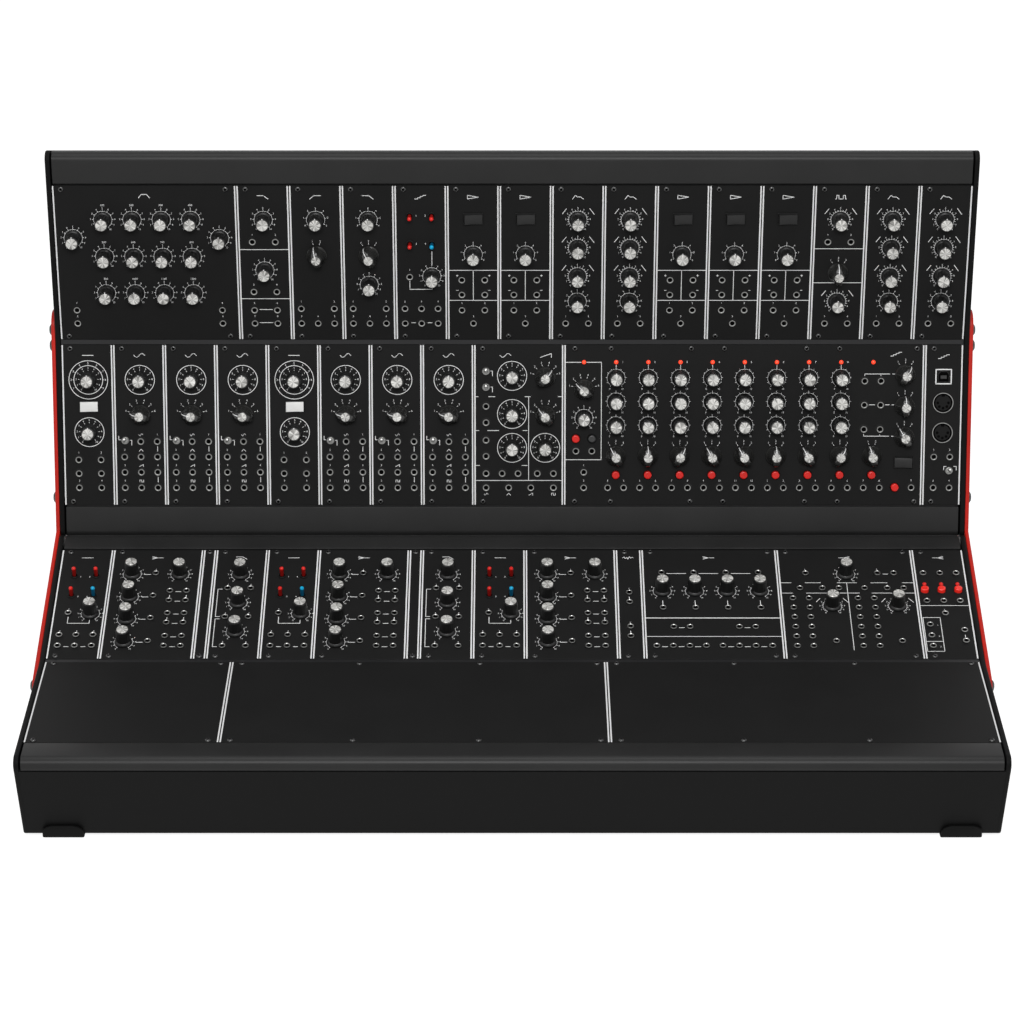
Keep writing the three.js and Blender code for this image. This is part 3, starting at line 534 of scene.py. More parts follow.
def fluted_knob():
    """A turned body with a fluted grip: every second point round it lies nearer by the flute's depth."""
    form = turned(KNOB_PROFILE, KNOB_SIDES, KNOB_FINISH)
    radius, height = np.hypot(*form.points[:, :2].T), form.points[:, 2]
    grip = (height > FLUTE_FROM) & (height < FLUTE_TO) & (np.arange(len(radius)) % 2 == 1)
    form.points[grip, :2] *= (1 - FLUTE_DEPTH / radius[grip])[:, None]
    return form


ROUND_KNOB = fluted_knob()
INDEX_MARK = slab(-0.4, 4.5, 0.4, 5.2, 12.2, 12.62, INK)


def round_knob(turn=0.0):
    """The knob and the white mark on its rim, turned by an angle in degrees."""
    return joined([ROUND_KNOB, INDEX_MARK]).moved(spin(math.radians(turn)))


print("knob faces", len(round_knob().faces))

# %% [markdown]
# ### Pointer knob
# The pointer knob is a dome with a raised bar across it and a small aluminium cap.
# At each height its outline is the smooth union of the dome's circle and the bar's
# rectangle, written as one radius for every angle, so the whole knob is one surface.

# %% Pointer knob
POINTER_SIDES = 40
BAR_HALF_WIDTH = 2.35
POINTER_LEVELS = [
    # height, radius of the dome, half length of the bar
    (0.5, 7.4, 0.1), (0.5, 8.2, 0.1), (1.0, 8.3, 0.1), (1.7, 8.2, 0.1), (2.1, 7.8, 7.6), (3.4, 7.0, 8.0),
    (5.4, 6.2, 8.05), (7.6, 5.5, 7.9), (9.6, 4.9, 7.4), (11.2, 4.5, 6.6), (12.3, 4.2, 5.5), (12.9, 3.8, 3.9),
    (13.0, 3.45, 0.1), (13.1, 3.35, 0.1), (13.5, 3.35, 0.1), (13.65, 3.2, 0.1), (13.7, 0.3, 0.1),
]
POINTER_FINISH = [POINTER] * 12 + [CAP] * 4
BAR_LEVELS = slice(11, 4, -1)
UNION_POWER = 10
LINE_START = (3.5, 13.0)
LINE_HALF = 0.3
LINE_BELOW = 0.3
LINE_ABOVE = 0.14


def pointer_knob(turn):
    """Radius at angle a: (dome^p + bar^p)^(1/p), bar = min(w / |cos a|, l / |sin a|), and a white line."""
    height, dome, reach = (column[:, None] for column in np.array(POINTER_LEVELS).T)
    angle = (np.arange(POINTER_SIDES) + 0.5) * 2 * math.pi / POINTER_SIDES
    bar = np.minimum(BAR_HALF_WIDTH / np.abs(np.cos(angle)), reach / np.abs(np.sin(angle)))
    bar = np.where(reach > 1, bar, 0.1)
    radius = np.maximum((dome**UNION_POWER + bar**UNION_POWER) ** (1 / UNION_POWER), dome)
    body = rings_to_form(round_about(radius, angle, height), POINTER_FINISH)
    ridge = np.array([LINE_START] + [(reach, z) for z, _, reach in POINTER_LEVELS[BAR_LEVELS]])
    along = np.gradient(ridge, axis=0)
    out = np.column_stack([-along[:, 1], along[:, 0]]) / np.hypot(*along.T)[:, None]
    low, high = ridge - out * LINE_BELOW, ridge + out * LINE_ABOVE
    corners = [(-LINE_HALF, high), (LINE_HALF, high), (LINE_HALF, low), (-LINE_HALF, low)]
    line = np.stack([np.column_stack([np.full(len(edge), x), edge]) for x, edge in corners], 1)
    return joined([body, rings_to_form(line, INK)]).moved(spin(math.radians(turn)))


# %% [markdown]
# ### Sockets, lamps, buttons and screws
# There are several hundred of these, so each has only a few dozen faces. A socket is
# a black washer, a nickel ring nut and a shallow hole painted near black as the shade
# of its depth. A screw has a domed head with a recess for its key, painted near black
# as shade.

# %% Small turned parts
SMALL_SIDES = 12
BUTTON_SIDES = 18
BUTTON_HOLE = 3.45


def socket():
    """Washer, round nut and a shallow hole painted near black as shade, from outside to inside."""
    profile = [(3.8, -0.1), (3.8, 0.22), (2.85, 0.3), (2.78, 1.35), (2.5, 1.8), (2.1, 1.8), (1.78, 1.5), (1.75, 0.3)]
    return turned(profile, SMALL_SIDES, [WASHER] * 3 + [NICKEL] * 3 + [HOLE_SHADE])


def lamp(lens=LENS):
    """A red dome, lit or not, in a thin black collar."""
    profile = [(2.1, -0.1), (2.1, 0.35), (1.7, 0.4), (1.62, 0.8), (1.2, 1.45), (0.6, 1.75)]
    return turned(profile, SMALL_SIDES, [WASHER] * 2 + [lens] * 3)


def press_button(finish):
    """A button with a slightly hollow top and a rounded edge."""
    profile = [(2.9, -1.4), (3.08, -1.2), (3.08, 2.5), (2.95, 2.9), (2.55, 3.15), (2.0, 3.2), (0.6, 3.1)]
    return turned(profile, BUTTON_SIDES, finish)


def button_collar():
    """The dark ring in which a button slides."""
    profile = [(3.8, -0.1), (3.8, 0.3), (3.65, 0.45), (3.5, 0.4), (BUTTON_HOLE, -0.1)]
    return turned(profile, BUTTON_SIDES, WASHER, hollow=True)


def panel_screw():
    """A domed head with a recess painted near black as shade."""
    profile = [(2.35, -0.1), (2.35, 0.35), (2.05, 0.9), (1.5, 1.25), (1.15, 1.3), (1.05, 1.2), (1.0, 0.4)]
    return turned(profile, SMALL_SIDES, [SCREW] * 5 + [HOLE_SHADE])


# %% [markdown]
# ### Switches
# A bat-handled toggle leans 12 degrees up in its threaded bushing. The small coloured
# levers are round sticks with a domed tip. A rocker rests with one end pressed, and
# its top is two slopes that meet in a shallow valley.

# %% Toggle, lever and rocker
TOGGLE_TILT = math.radians(12)
ROCKER_TILT = math.radians(7)


def toggle_bushing():
    """Black washer, round ring nut and the threaded bushing above it."""
    nut = [(3.7, -0.1), (3.7, 0.25), (3.05, 0.35), (3.0, 1.3), (2.8, 1.6), (1.9, 1.6)]
    thread = [(2.4, 1.5), (2.4, 2.7), (2.2, 2.95), (1.8, 3.0), (1.65, 2.7), (1.65, 1.5)]
    return joined([turned(nut, 20, [WASHER] * 2 + [NICKEL] * 3), turned(thread, 16, NICKEL, hollow=True)])


def toggle_bat():
    """The bat: a taper that widens to a rounded tip, leaning up the panel."""
    profile = [(0.7, 1.8), (0.95, 2.4), (1.15, 5.0), (1.5, 7.6), (1.72, 9.2), (1.6, 9.9), (1.1, 10.35), (0.4, 10.5)]
    return turned(profile, 14, NICKEL).moved(tilt(-TOGGLE_TILT))


def lever_stick(tip, stick):
    """A round coloured stick, matt below and painted in a darker copy of its colour as shade, with a polished domed
    tip in the plain colour.
    """
    profile = [(0.8, 0.5), (1.4, 0.8), (1.62, 4.0), (1.68, 7.4), (1.5, 8.4), (1.05, 8.9), (0.4, 9.05)]
    return turned(profile, 14, [stick] * 3 + [tip] * 3)


def lever_collar():
    """The dark round bush that a lever tips in, its hole painted near black as shade."""
    return turned([(3.0, -0.1), (3.0, 0.7), (2.7, 1.0), (2.3, 1.0), (2.1, 0.2)], 16, [WASHER] * 3 + [HOLE_SHADE])


ROCKER_WIDTH = 15.6
ROCKER_TALL = 9.4
ROCKER_FRAME = 0.6
ROCKER_DISH = 0.8
ROCKER_CLEAR = 0.25
ROCKER_MOUTH = ROCKER_WIDTH / 2 - ROCKER_FRAME, ROCKER_TALL / 2 - ROCKER_FRAME


def rocker_frame():
    """The bezel round a rocker, a ring between two rectangles, and below it a floor painted near black as shade."""
    levels = [(0, -0.1), (0, 1.0), (0.2, 1.2), (ROCKER_FRAME, 1.2), (ROCKER_FRAME, -1.5)]
    ring = stacked(rectangle(ROCKER_WIDTH, ROCKER_TALL), levels, WASHER, hollow=True)
    wide, tall = ROCKER_MOUTH
    return joined([ring, slab(-wide, -tall, wide, tall, -1.9, -1.5, HOLE_SHADE)])


def rocker_paddle(finish, lean=ROCKER_TILT):
    """A block whose top is lowered by dish (1 - |x| / half width), leaning about y."""
    wide = ROCKER_WIDTH - 2 * (ROCKER_FRAME + ROCKER_CLEAR)
    tall = ROCKER_TALL - 2 * (ROCKER_FRAME + ROCKER_CLEAR)
    levels = [(0.2, 0.0), (0, 0.2), (0, 3.0), (0.12, 3.3), (0.4, 3.4)]
    form = stacked(rectangle(wide, tall), levels, finish)
    high = form.points[:, 2] > 2
    form.points[high, 2] -= ROCKER_DISH * (1 - np.abs(form.points[high, 0]) / (wide / 2))
    turn = np.eye(4)
    turn[:3, :3] = [
        [math.cos(lean), 0, math.sin(lean)],
        [0, 1, 0],
        [-math.sin(lean), 0, math.cos(lean)],
    ]
    return form.moved(turn)


# %% [markdown]
# ### Round and square connectors
# The two round five-pole sockets have a bright ring, a black insert, and a key way and
# five holes in a half circle drawn as flat marks painted near black as shade. The square
# data socket has a black shell, a mouth painted near black as shade and a dark tongue.

# %% Connectors
POLES = 5
POLE_CIRCLE = 4.2
CONNECTOR_SIDES = 36


def five_pole_socket():
    """Ring, insert, and a key way and five holes over the lower half circle, painted near black as shade."""
    shell = [(8.2, -0.1), (8.2, 0.8), (8.05, 1.05), (7.6, 1.05), (7.45, 0.85), (7.45, 0.1)]
    ring = turned(shell, CONNECTOR_SIDES, [NICKEL] * 4 + [HOLE_SHADE])
    insert = turned([(6.3, 0.0), (6.3, 0.5), (6.1, 0.7), (2.0, 0.7)], CONNECTOR_SIDES, PANEL)
    places = round_about(POLE_CIRCLE, math.pi + np.arange(POLES) * math.pi / 4, 0.66)
    holes = turned([(1.1, 0.0), (1.1, 0.08)], 12, HOLE_SHADE).copies(places)
    key = slab(-1.3, 4.9, 1.3, 6.35, 0.6, 0.78, HOLE_SHADE)
    return joined([ring, insert, holes, key])


def square_socket():
    """A black shell with its upper corners cut off, a mouth painted near black as shade and a dark tongue."""
    house = [(4.4, -4.2), (4.4, 1.8), (2.6, 4.2), (-2.6, 4.2), (-4.4, 1.8), (-4.4, -4.2), (0, -4.2)]
    levels = [(0, -0.1), (0, 0.5), (0.1, 0.6), (0.4, 0.6), (0.4, 0.05)]
    shield = stacked(house, levels, [KNOB, KNOB, WASHER, HOLE_SHADE])
    tongue = slab(-2.4, -1.6, 2.4, 1.0, 0.05, 0.5, KNOB)
    return joined([shield, tongue])


# %% [markdown]
# ## Printing
# The white printing is screen ink a few hundredths of a millimetre thick. It is drawn
# here as thin closed slabs: rules and boxes from straight bars, dial arcs from bent
# bars, and figures from the plain font that Blender carries, made into meshes once
# and then copied. Words are left off, so each place of a caption holds a figure or a
# plain sign.

# %% Ink bars and arcs
INK_LOW = -0.02
INK_HIGH = 0.06
RULE = 0.5
ARC_STEP = 9


def ink_line(points, width=RULE):
    """Straight bars between points (k, 2), each lengthened by half its width so corners fill."""
    points = np.array(points, float)
    forms = []
    for start, end in zip(points[:-1], points[1:]):
        length = np.hypot(*(end - start))
        bar = slab(-width / 2, -width / 2, length + width / 2, width / 2, INK_LOW, INK_HIGH, INK)
        forms.append(bar.moved(spin(math.atan2(*(end - start)[::-1]))).moved(at(*start)))
    return joined(forms)


def ink_arc(radius, start, end, width=RULE):
    """A band of ink about the origin between two angles in degrees, from straight up, clockwise."""
    steps = max(4, int(abs(end - start) / ARC_STEP))
    angle = np.radians(90 - np.linspace(start, end, steps + 1))[:, None]
    inner, outer = radius - width / 2, radius + width / 2
    section = np.array([(outer, INK_HIGH), (inner, INK_HIGH), (inner, INK_LOW), (outer, INK_LOW)])
    return rings_to_form(round_about(section[:, 0], angle, section[:, 1]), INK)


# %% Figures made once and copied
FONT_SIZE = 1.4


def figure_form(text):
    """A figure from the built-in font, 1 mm high about its middle, as a form."""
    curve = bpy.data.curves.new("figure", "FONT")
    curve.body = text
    curve.size = FONT_SIZE
    curve.resolution_u = 2
    curve.extrude = (INK_HIGH - INK_LOW) / 2
    curve.align_x = curve.align_y = "CENTER"
    holder = bpy.data.objects.new("figure", curve)
    bpy.context.scene.collection.objects.link(holder)
    mesh = bpy.data.meshes.new_from_object(holder.evaluated_get(bpy.context.evaluated_depsgraph_get()))
    mesh.calc_loop_triangles()
    points = np.array([vertex.co for vertex in mesh.vertices], float).reshape(-1, 3)
    corners = np.array([triangle.vertices for triangle in mesh.loop_triangles], int).reshape(-1, 3)
    bpy.data.objects.remove(holder)
    bpy.data.curves.remove(curve)
    bpy.data.meshes.remove(mesh)
    points[:, 2] += (INK_HIGH + INK_LOW) / 2
    return Form(points, np.column_stack([corners, np.full(len(corners), -1)]), INK)


FIGURES = {str(number): figure_form(str(number)) for number in [*range(13), *range(100, 1300, 100)]}
print("figures", len(FIGURES), "faces", sum(len(form.faces) for form in FIGURES.values()))


def figure(text, x, y, height):
    """A figure of a given height in millimetres with its middle at a place."""
    scale = np.diag([height, height, 1, 1.0])
    return FIGURES[text].moved(scale).moved(at(x, y))


# %% [markdown]
# ### Dials
# An ordinary dial is a thin arc close round the knob, eleven ticks over 290 degrees
# and the figures 0 to 10. A stage knob has figures only at its ends, a time knob has
# twice the ticks and two slanting marks, and the knobs of filters and amplifiers have
# seven stops. A selector has only a tick and a figure for each stop. An oscillator's
# knob has a closed ring round its figures, and a driver's first knob has two.

# %% Dials
SWEEP = 145
FIGURE_HIGH = 1.4
DIAL = 7.15
STOP_STEP = 30
TEN = [str(number) for number in range(11)]
TEN_ANGLES = np.linspace(-SWEEP, SWEEP, 11)
SEVEN_ANGLES = np.linspace(-120, 120, 7)
NINE_ANGLES = np.linspace(-120, 120, 9)


def ticks(angles, inner, outer, width=0.34):
    """Short radial bars at the given angles, in degrees from straight up, clockwise."""
    forms = []
    for angle in angles:
        away = np.array([math.sin(math.radians(angle)), math.cos(math.radians(angle))])
        forms.append(ink_line([away * (inner + width / 2), away * (outer - width / 2)], width))
    return joined(forms)


def dial_figures(names, angles, radius, height=FIGURE_HIGH):
    """Figures set upright on a circle."""
    return joined(
        figure(name, radius * math.sin(math.radians(a)), radius * math.cos(math.radians(a)), height)
        for name, a in zip(names, angles)
    )


def open_dial(angles=TEN_ANGLES, names=TEN, count=None):
    """An arc, a tick for each stop with a longer one at the top, and figures outside."""
    return joined([
        ink_arc(DIAL, angles[0], angles[-1], 0.24),
        ticks(np.linspace(angles[0], angles[-1], count or len(angles)), DIAL, 8.3),
        ticks([0], 6.6, 8.6), dial_figures(names, angles, 9.5),
    ])


def selector_dial(stops):
    """A tick and a figure for each stop, one step apart about straight up."""
    angles = (np.arange(stops) - (stops - 1) / 2) * STOP_STEP
    return joined([ticks(angles, 9.1, 10.4), dial_figures(TEN[1 : stops + 1], angles, 11.8, 1.6)])


DIALS = {
    "open": open_dial(),
    "seven": open_dial(SEVEN_ANGLES, TEN[:7]),
    "time": joined([open_dial(count=21), ink_line([(-12, 5), (-9, 9)]), ink_line([(9.2, 9.2), (12.6, 4.6)])]),
    "stage": joined([
        ink_arc(DIAL, -140, 140, 0.2), ticks(TEN_ANGLES, DIAL, 8.2, 0.28), ticks([0], 6.4, 8.8),
        dial_figures(["0", "10"], [-150, 150], 10.0),
    ]),
    "ring": joined([
        ink_arc(11.6, 0, 360), ticks(TEN_ANGLES, DIAL, 8.3), dial_figures(TEN, TEN_ANGLES, 9.7, 1.5),
    ]),
    "double": joined([
        ink_arc(15.3, 0, 360), ink_arc(11.4, 0, 360), ticks(NINE_ANGLES, 11.4, 12.3),
        dial_figures(TEN[1:10], NINE_ANGLES, 13.5, 1.6), ticks(TEN_ANGLES, DIAL, 8.1),
        dial_figures(TEN, TEN_ANGLES, 9.6),
    ]),
    **{stops: selector_dial(stops) for stops in range(2, 7)},
}
print("dials", list(DIALS))

# %% [markdown]
# ## Side views: outlines and how they are carried across
# The case, its lips, its rails and the brackets are all flat outlines seen from the
# side, carried across by a width. An outline is built from corner points, each
# rounded by its own radius, and the ends of the carried form are drawn in by a small
# edge, because no folded or cut sheet has a knife edge.

# %% Outline tools
NO_AREA = 1e-9


def ray(angle):
    """The unit vector (cos a, sin a) in the side view."""
    return np.array([math.cos(angle), math.sin(angle)])


def meet(a, angle_a, b, angle_b):
    """Where the line through a at one angle crosses the line through b at another."""
    away, back = ray(angle_a), ray(angle_b)
    step, turn = b - a, away[0] * back[1] - away[1] * back[0]
    return a + away * (step[0] * back[1] - step[1] * back[0]) / turn


def rounded(corners, steps=8):
    """Rounds each corner of an outline by its own radius with an arc of a few steps."""
    points = []
    count = len(corners)
    for i, (corner, radius) in enumerate(corners):
        if not radius:
            points.append(corner)
            continue
        back = corners[i - 1][0] - corner
        ahead = corners[(i + 1) % count][0] - corner
        back, ahead = back / np.hypot(*back), ahead / np.hypot(*ahead)
        half = math.acos(max(-1, min(1, back @ ahead))) / 2
        middle = corner + (back + ahead) / np.hypot(*(back + ahead)) * radius / math.sin(half)
        first = corner + back * radius / math.tan(half) - middle
        sweep = (math.pi - 2 * half) * math.copysign(1, ahead[0] * back[1] - ahead[1] * back[0])
        for angle in np.linspace(0, sweep, steps + 1):
            c, s = math.cos(angle), math.sin(angle)
            points.append(middle + (c * first[0] - s * first[1], s * first[0] + c * first[1]))
    return np.array(points)


def drawn_in(outline, inset):
    """Moves each corner inwards so that each edge of a counter-clockwise outline moves by inset."""
    edge = np.roll(outline, -1, 0) - outline
    normal = np.column_stack([-edge[:, 1], edge[:, 0]]) / np.hypot(*edge.T)[:, None]
    before = np.roll(normal, 1, 0)
    return outline + (normal + before) / (1 + (normal * before).sum(1))[:, None] * inset


def filled(loops, up=1):
    """Triangles that fill loops of (k, 2), the later ones being holes, all facing one way."""
    corners = np.array(tessellate_polygon([[Vector((*point, 0)) for point in loop] for loop in loops]))
    a, b, c = np.concatenate(loops)[corners.T]
    area = (b - a)[:, 0] * (c - a)[:, 1] - (b - a)[:, 1] * (c - a)[:, 0]
    real = np.abs(area) > NO_AREA
    corners, wrong = corners[real], area[real] * up < 0
    corners[wrong] = corners[wrong][:, ::-1]
    return np.column_stack([corners, np.full(len(corners), -1)])


def counter_clockwise(outline):
    """The outline turned so that its inside lies to the left."""
    outline = np.array(outline, float)
    following = np.roll(outline, -1, 0)
    area = (outline[:, 0] * following[:, 1] - outline[:, 1] * following[:, 0]).sum()
    return outline if area > 0 else outline[::-1]


def edge_steps(radius, steps):
    """Steps (depth, inset) over a rounded edge: r (1 - cos a), r (1 - sin a), a from 0 to 90 degrees."""
    angle = np.linspace(0, math.pi / 2, steps + 1)
    return [(radius * (1 - math.cos(a)), radius * (1 - math.sin(a))) for a in angle]


def capped(rings):
    """Rings of (x, y, z) joined by walls, with the first and the last filled flat in their side view."""
    walls = rings_to_form(rings)
    levels, count, _ = rings.shape
    first, last = (filled([ring[:, 1:]]) for ring in (rings[0], rings[-1]))
    last = np.where(last < 0, -1, last + (levels - 1) * count)
    faces = [walls.faces[: (levels - 1) * count], first[:, [2, 1, 0, 3]], last]
    return Form(walls.points[: levels * count], np.concatenate(faces))


def across(outline, start, end, edges, steps=1):
    """An outline of (y, z) carried along x from start to end, with a rounded edge round each end."""
    outline = counter_clockwise(outline)
    low, high = (edge_steps(edge, steps) for edge in edges)
    places = [(start + depth, inset) for depth, inset in low]
    places += [(end - depth, inset) for depth, inset in high[::-1]]
    return capped(np.array([
        np.column_stack([np.full(len(outline), x), drawn_in(outline, inset)]) for x, inset in places]))


# %% [markdown]
# ## The cases
# Each case is folded from steel sheet and powder coated: a trough whose end walls
# lean in below, closed at both sides by cheeks that stand a millimetre proud. The
# same outline with a longer rear lip, turned by 76 degrees, makes the upper case.

# %% Case outlines
WALL_LEAN = math.radians(21.85)
CASE_DEPTH = 77.0
CHEEK_THICK = 3.8
CHEEK_PROUD = 1.0
CHEEK_ROUND = 1.3
CORNER = 7.0
TOE_CORNER = 4.0
LIP_WRAP = 11.6
SEAM_OPEN = 0.3
WALL_THICK = 2.2
FIT = 0.3
INNER_HALF = ROW_WIDTH / 2 + FIT
OUTER_HALF = INNER_HALF + CHEEK_THICK
BOARD_HALF_LENGTH = 310
BOARD_HALF_WIDTH = 30
BOARD_RISE = 7
BOARD_THICK = 1.6
POST_HALF = 4
POST_AT = (-306, 0, 306)


def on_row(row, up, above=0.0):
    """A place in the side view, from a distance up a row and a height above its panels."""
    start, angle = (np.zeros(2), 0.0) if row == "front" else (np.array(HINGE_LINE), BEND)
    return start + ray(angle) * up + ray(angle + math.pi / 2) * above


FRONT_LIP = 30.6
REAR_LIPS = {"lower": 25.0, "upper": 29.5}
ENDS = {
    # each end: row, lip span, which way is inwards, angle of the wall going down, angle of the row
    case: {
        "front": ("front", FRONT_LIP, 1, WALL_LEAN - math.pi / 2, 0.0),
        "rear": ("rear", rear_lip, -1, BEND - WALL_LEAN - math.pi / 2, BEND),
    }
    for case, rear_lip in REAR_LIPS.items()
}


def end_place(end, distance, above):
    """A place at a distance in from an end's sharp corner and a height above the panels."""
    row, span = end[:2]
    return on_row(row, distance - span if row == "front" else PANEL_HEIGHT + span - distance, above)


def peak(end):
    """Where an end's sharp upper corner would be."""
    return end_place(end, 0, CHEEK_PROUD)


def toe(end):
    """Where an end's sharp lower corner would be."""
    return meet(peak(end), end[3], np.array([0, -CASE_DEPTH]), 0)


def seam_point(end, inside=0.0):
    """Where the lip ends and the wall of the tray begins, moved inwards by a distance."""
    _, _, inward, wall, _ = end
    return peak(end) + ray(wall) * (LIP_WRAP + SEAM_OPEN) + ray(wall + inward * math.pi / 2) * inside


def tray_form(front, rear):
    """Two cheeks, and between them the folded trough with its power board."""
    ridge = meet(peak(front), 0, peak(rear), BEND)
    toes = [(toe(front), TOE_CORNER), (toe(rear), TOE_CORNER)]
    side = rounded([(peak(front), CORNER), *toes, (peak(rear), CORNER), (ridge, 0)], 10)
    floor = np.array([0, WALL_THICK - CASE_DEPTH])
    low = [meet(seam_point(end, WALL_THICK), end[3], floor, 0) for end in (front, rear)]
    trough = rounded([
        (seam_point(front), 0), *toes, (seam_point(rear), 0),
        (seam_point(rear, WALL_THICK), 0), (low[1], 2), (low[0], 2), (seam_point(front, WALL_THICK), 0),
    ])
    middle = (toe(front)[0] + toe(rear)[0]) / 2
    under = floor[1] + BOARD_RISE
    board = slab(-BOARD_HALF_LENGTH, middle - BOARD_HALF_WIDTH, BOARD_HALF_LENGTH, middle + BOARD_HALF_WIDTH,
                 under, under + BOARD_THICK, BOARD)
    post = slab(-POST_HALF, middle - POST_HALF, POST_HALF, middle + POST_HALF, floor[1] - 0.5, under, BOARD)
    return joined([
        across(side, -OUTER_HALF, -INNER_HALF, (CHEEK_ROUND, 0.4), 4),
        across(side, INNER_HALF, OUTER_HALF, (0.4, CHEEK_ROUND), 4),
        across(trough, -INNER_HALF - 0.2, INNER_HALF + 0.2, (0.1, 0.1)),
        board, post.copies([(x, 0, 0) for x in POST_AT]),
    ])


# %% [markdown]
# ### Lips, rails and the power entry
# Each lip is its own strip: bent round the corner of the case and carrying the rail
# that the panel screws bite into. The twin rail between the rows is an extrusion
# with a slot on each side.

# %% Lips and rails
LIP_INSET = 0.5
LIP_SHEET = 2.0
LIP_GAP = 1.6
LIP_END_GAP = 1.3
RAIL_SEAT = -PANEL_THICK - FIT
SLOT_START = 1.4
SLOT_WIDTH = 3.2
SLOT_DEPTH = 5.0
RAIL_REACH = 8.0
RAIL_BEHIND = 6.0
RAIL_DEPTH = 12.0


def lip_form(end):
    """The bent strip of one end, in section, carried across the row."""
    _, span, inward, wall, angle = end
    inwards, down = ray(wall + inward * math.pi / 2), ray(wall) * (LIP_WRAP - FIT - SEAM_OPEN)
    outer, inner = peak(end) + inwards * LIP_INSET, peak(end) + inwards * (LIP_INSET + LIP_SHEET)
    top = CHEEK_PROUD - LIP_INSET
    low = top - LIP_SHEET
    slot, bottom = span + SLOT_START, RAIL_SEAT - SLOT_DEPTH
    rail = [
        (span - RAIL_BEHIND, low), (span - RAIL_BEHIND, -RAIL_DEPTH), (span + RAIL_REACH, -RAIL_DEPTH),
        (span + RAIL_REACH, RAIL_SEAT), (slot + SLOT_WIDTH, RAIL_SEAT), (slot + SLOT_WIDTH, bottom),
        (slot, bottom), (slot, RAIL_SEAT), (span - LIP_GAP, RAIL_SEAT),
    ]
    section = rounded([
        (end_place(end, span - LIP_GAP, top), 0.4),
        (meet(outer, wall, end_place(end, 0, top), angle), CORNER - LIP_INSET),
        (outer + down, 0), (inner + down, 0),
        (meet(inner, wall, end_place(end, 0, low), angle), CORNER - LIP_INSET - LIP_SHEET),
        *[(end_place(end, *place), 0) for place in rail],
    ])
    half = INNER_HALF - LIP_END_GAP
    return across(section, -half, half, (0.3, 0.3))


def rail_form():
    """The twin rail in section: a low ridge, and on each side a seat with a slot."""
    slot_end, bottom = SLOT_START + SLOT_WIDTH, RAIL_SEAT - SLOT_DEPTH
    steps = [
        (-FIT, -FIT), (-FIT, RAIL_SEAT), (SLOT_START, RAIL_SEAT), (SLOT_START, bottom),
        (slot_end, bottom), (slot_end, RAIL_SEAT), (RAIL_REACH, RAIL_SEAT), (RAIL_REACH, -RAIL_DEPTH),
    ]
    rear = [on_row("rear", up, above) for up, above in steps]
    front = [on_row("front", PANEL_HEIGHT - up, above) for up, above in steps]
    return across(rear + front[::-1], -ROW_WIDTH / 2, ROW_WIDTH / 2, (0.2, 0.2))


# %% [markdown]
# Power comes in at the lower rear of each case: a round socket in a rectangular bezel
# and a small rocker beside it. The photograph doesn't show that side, so both are plain.

# %% Power entry
ENTRY_RISE = 40
ENTRY_ACROSS = -250
SWITCH_BESIDE = 26


def power_entry(rear):
    """A socket and a switch on the rear wall, facing outwards from it."""
    wall = rear[3]
    middle = toe(rear) - ray(wall) * ENTRY_RISE
    levels = [(0, -0.5), (0, 0.1), (0.25, 0.35), (0.9, 0.35), (0.9, -0.4)]
    bezel = stacked(rectangle(14, 11, 1.2), levels, KNOB, hollow=True)
    # The plate behind the bezel is painted near black as the shade inside the socket.
    socket_face = joined([
        bezel, slab(-6.2, -4.7, 6.2, 4.7, -0.5, -0.3, HOLE_SHADE),
        turned([(3.4, -0.4), (3.4, 0.15), (3.1, 0.25), (2.7, 0.1), (2.7, -0.4)], 20, NICKEL, hollow=True),
        turned([(0.7, -0.4), (0.7, 0.1), (0.4, 0.2)], 10, NICKEL),
    ])
    paddle = stacked(rectangle(11, 8, 0.6), [(0, -0.4), (0, 0.15), (0.3, 0.3)], WASHER)
    switch = joined([bezel, paddle]).moved(at(SWITCH_BESIDE, 0))
    return joined([socket_face, switch]).moved(at(ENTRY_ACROSS, 0)).moved(tilt(wall, *middle))


for case, matrix in CASES.items():
    ends = ENDS[case]
    tray = tray_form(ends["front"], ends["rear"])
    make_piece(f"{case}_case_shell", tray.moved(matrix), [powder_black, circuit_green],
               stands_for=[f"{case}_tray"])
    make_piece(f"{case}_power_entry", power_entry(ends["rear"]).moved(matrix), CONTROL_FINISHES)
    for name, end in ends.items():
        make_piece(f"{case}_{name}_edge", lip_form(end).moved(matrix), [satin_black],
                   stands_for=[f"{case}_{name}_lip"])
    make_piece(f"{case}_rails", rail_form().moved(matrix), [anodised_rail],
               stands_for=[f"{case}_middle_rail"])
print("cases", list(CASES))

# %% [markdown]
# ## The side brackets
# Two flat plates of 3 mm sheet, cut in a wide V and powder coated red, are bolted to
# the cheeks. Their bolts have low domed heads with a recess for the key, painted near
# black as shade.

# %% Brackets and bolts
BRACKET_THICK = 3.0
BRACKET_WIDTH = 44.0
BRACKET_UP = 154.6
BRACKET_BACK = 33
BRACKET_CORNER = 12
BRACKET_BEND = 30
BOLT_INSET = 8.0
LOW_BOLTS = [(-21.6, BOLT_INSET), (8, 22), (118, 22)]
HIGH_BOLTS = (5, 126.9, 139.4)


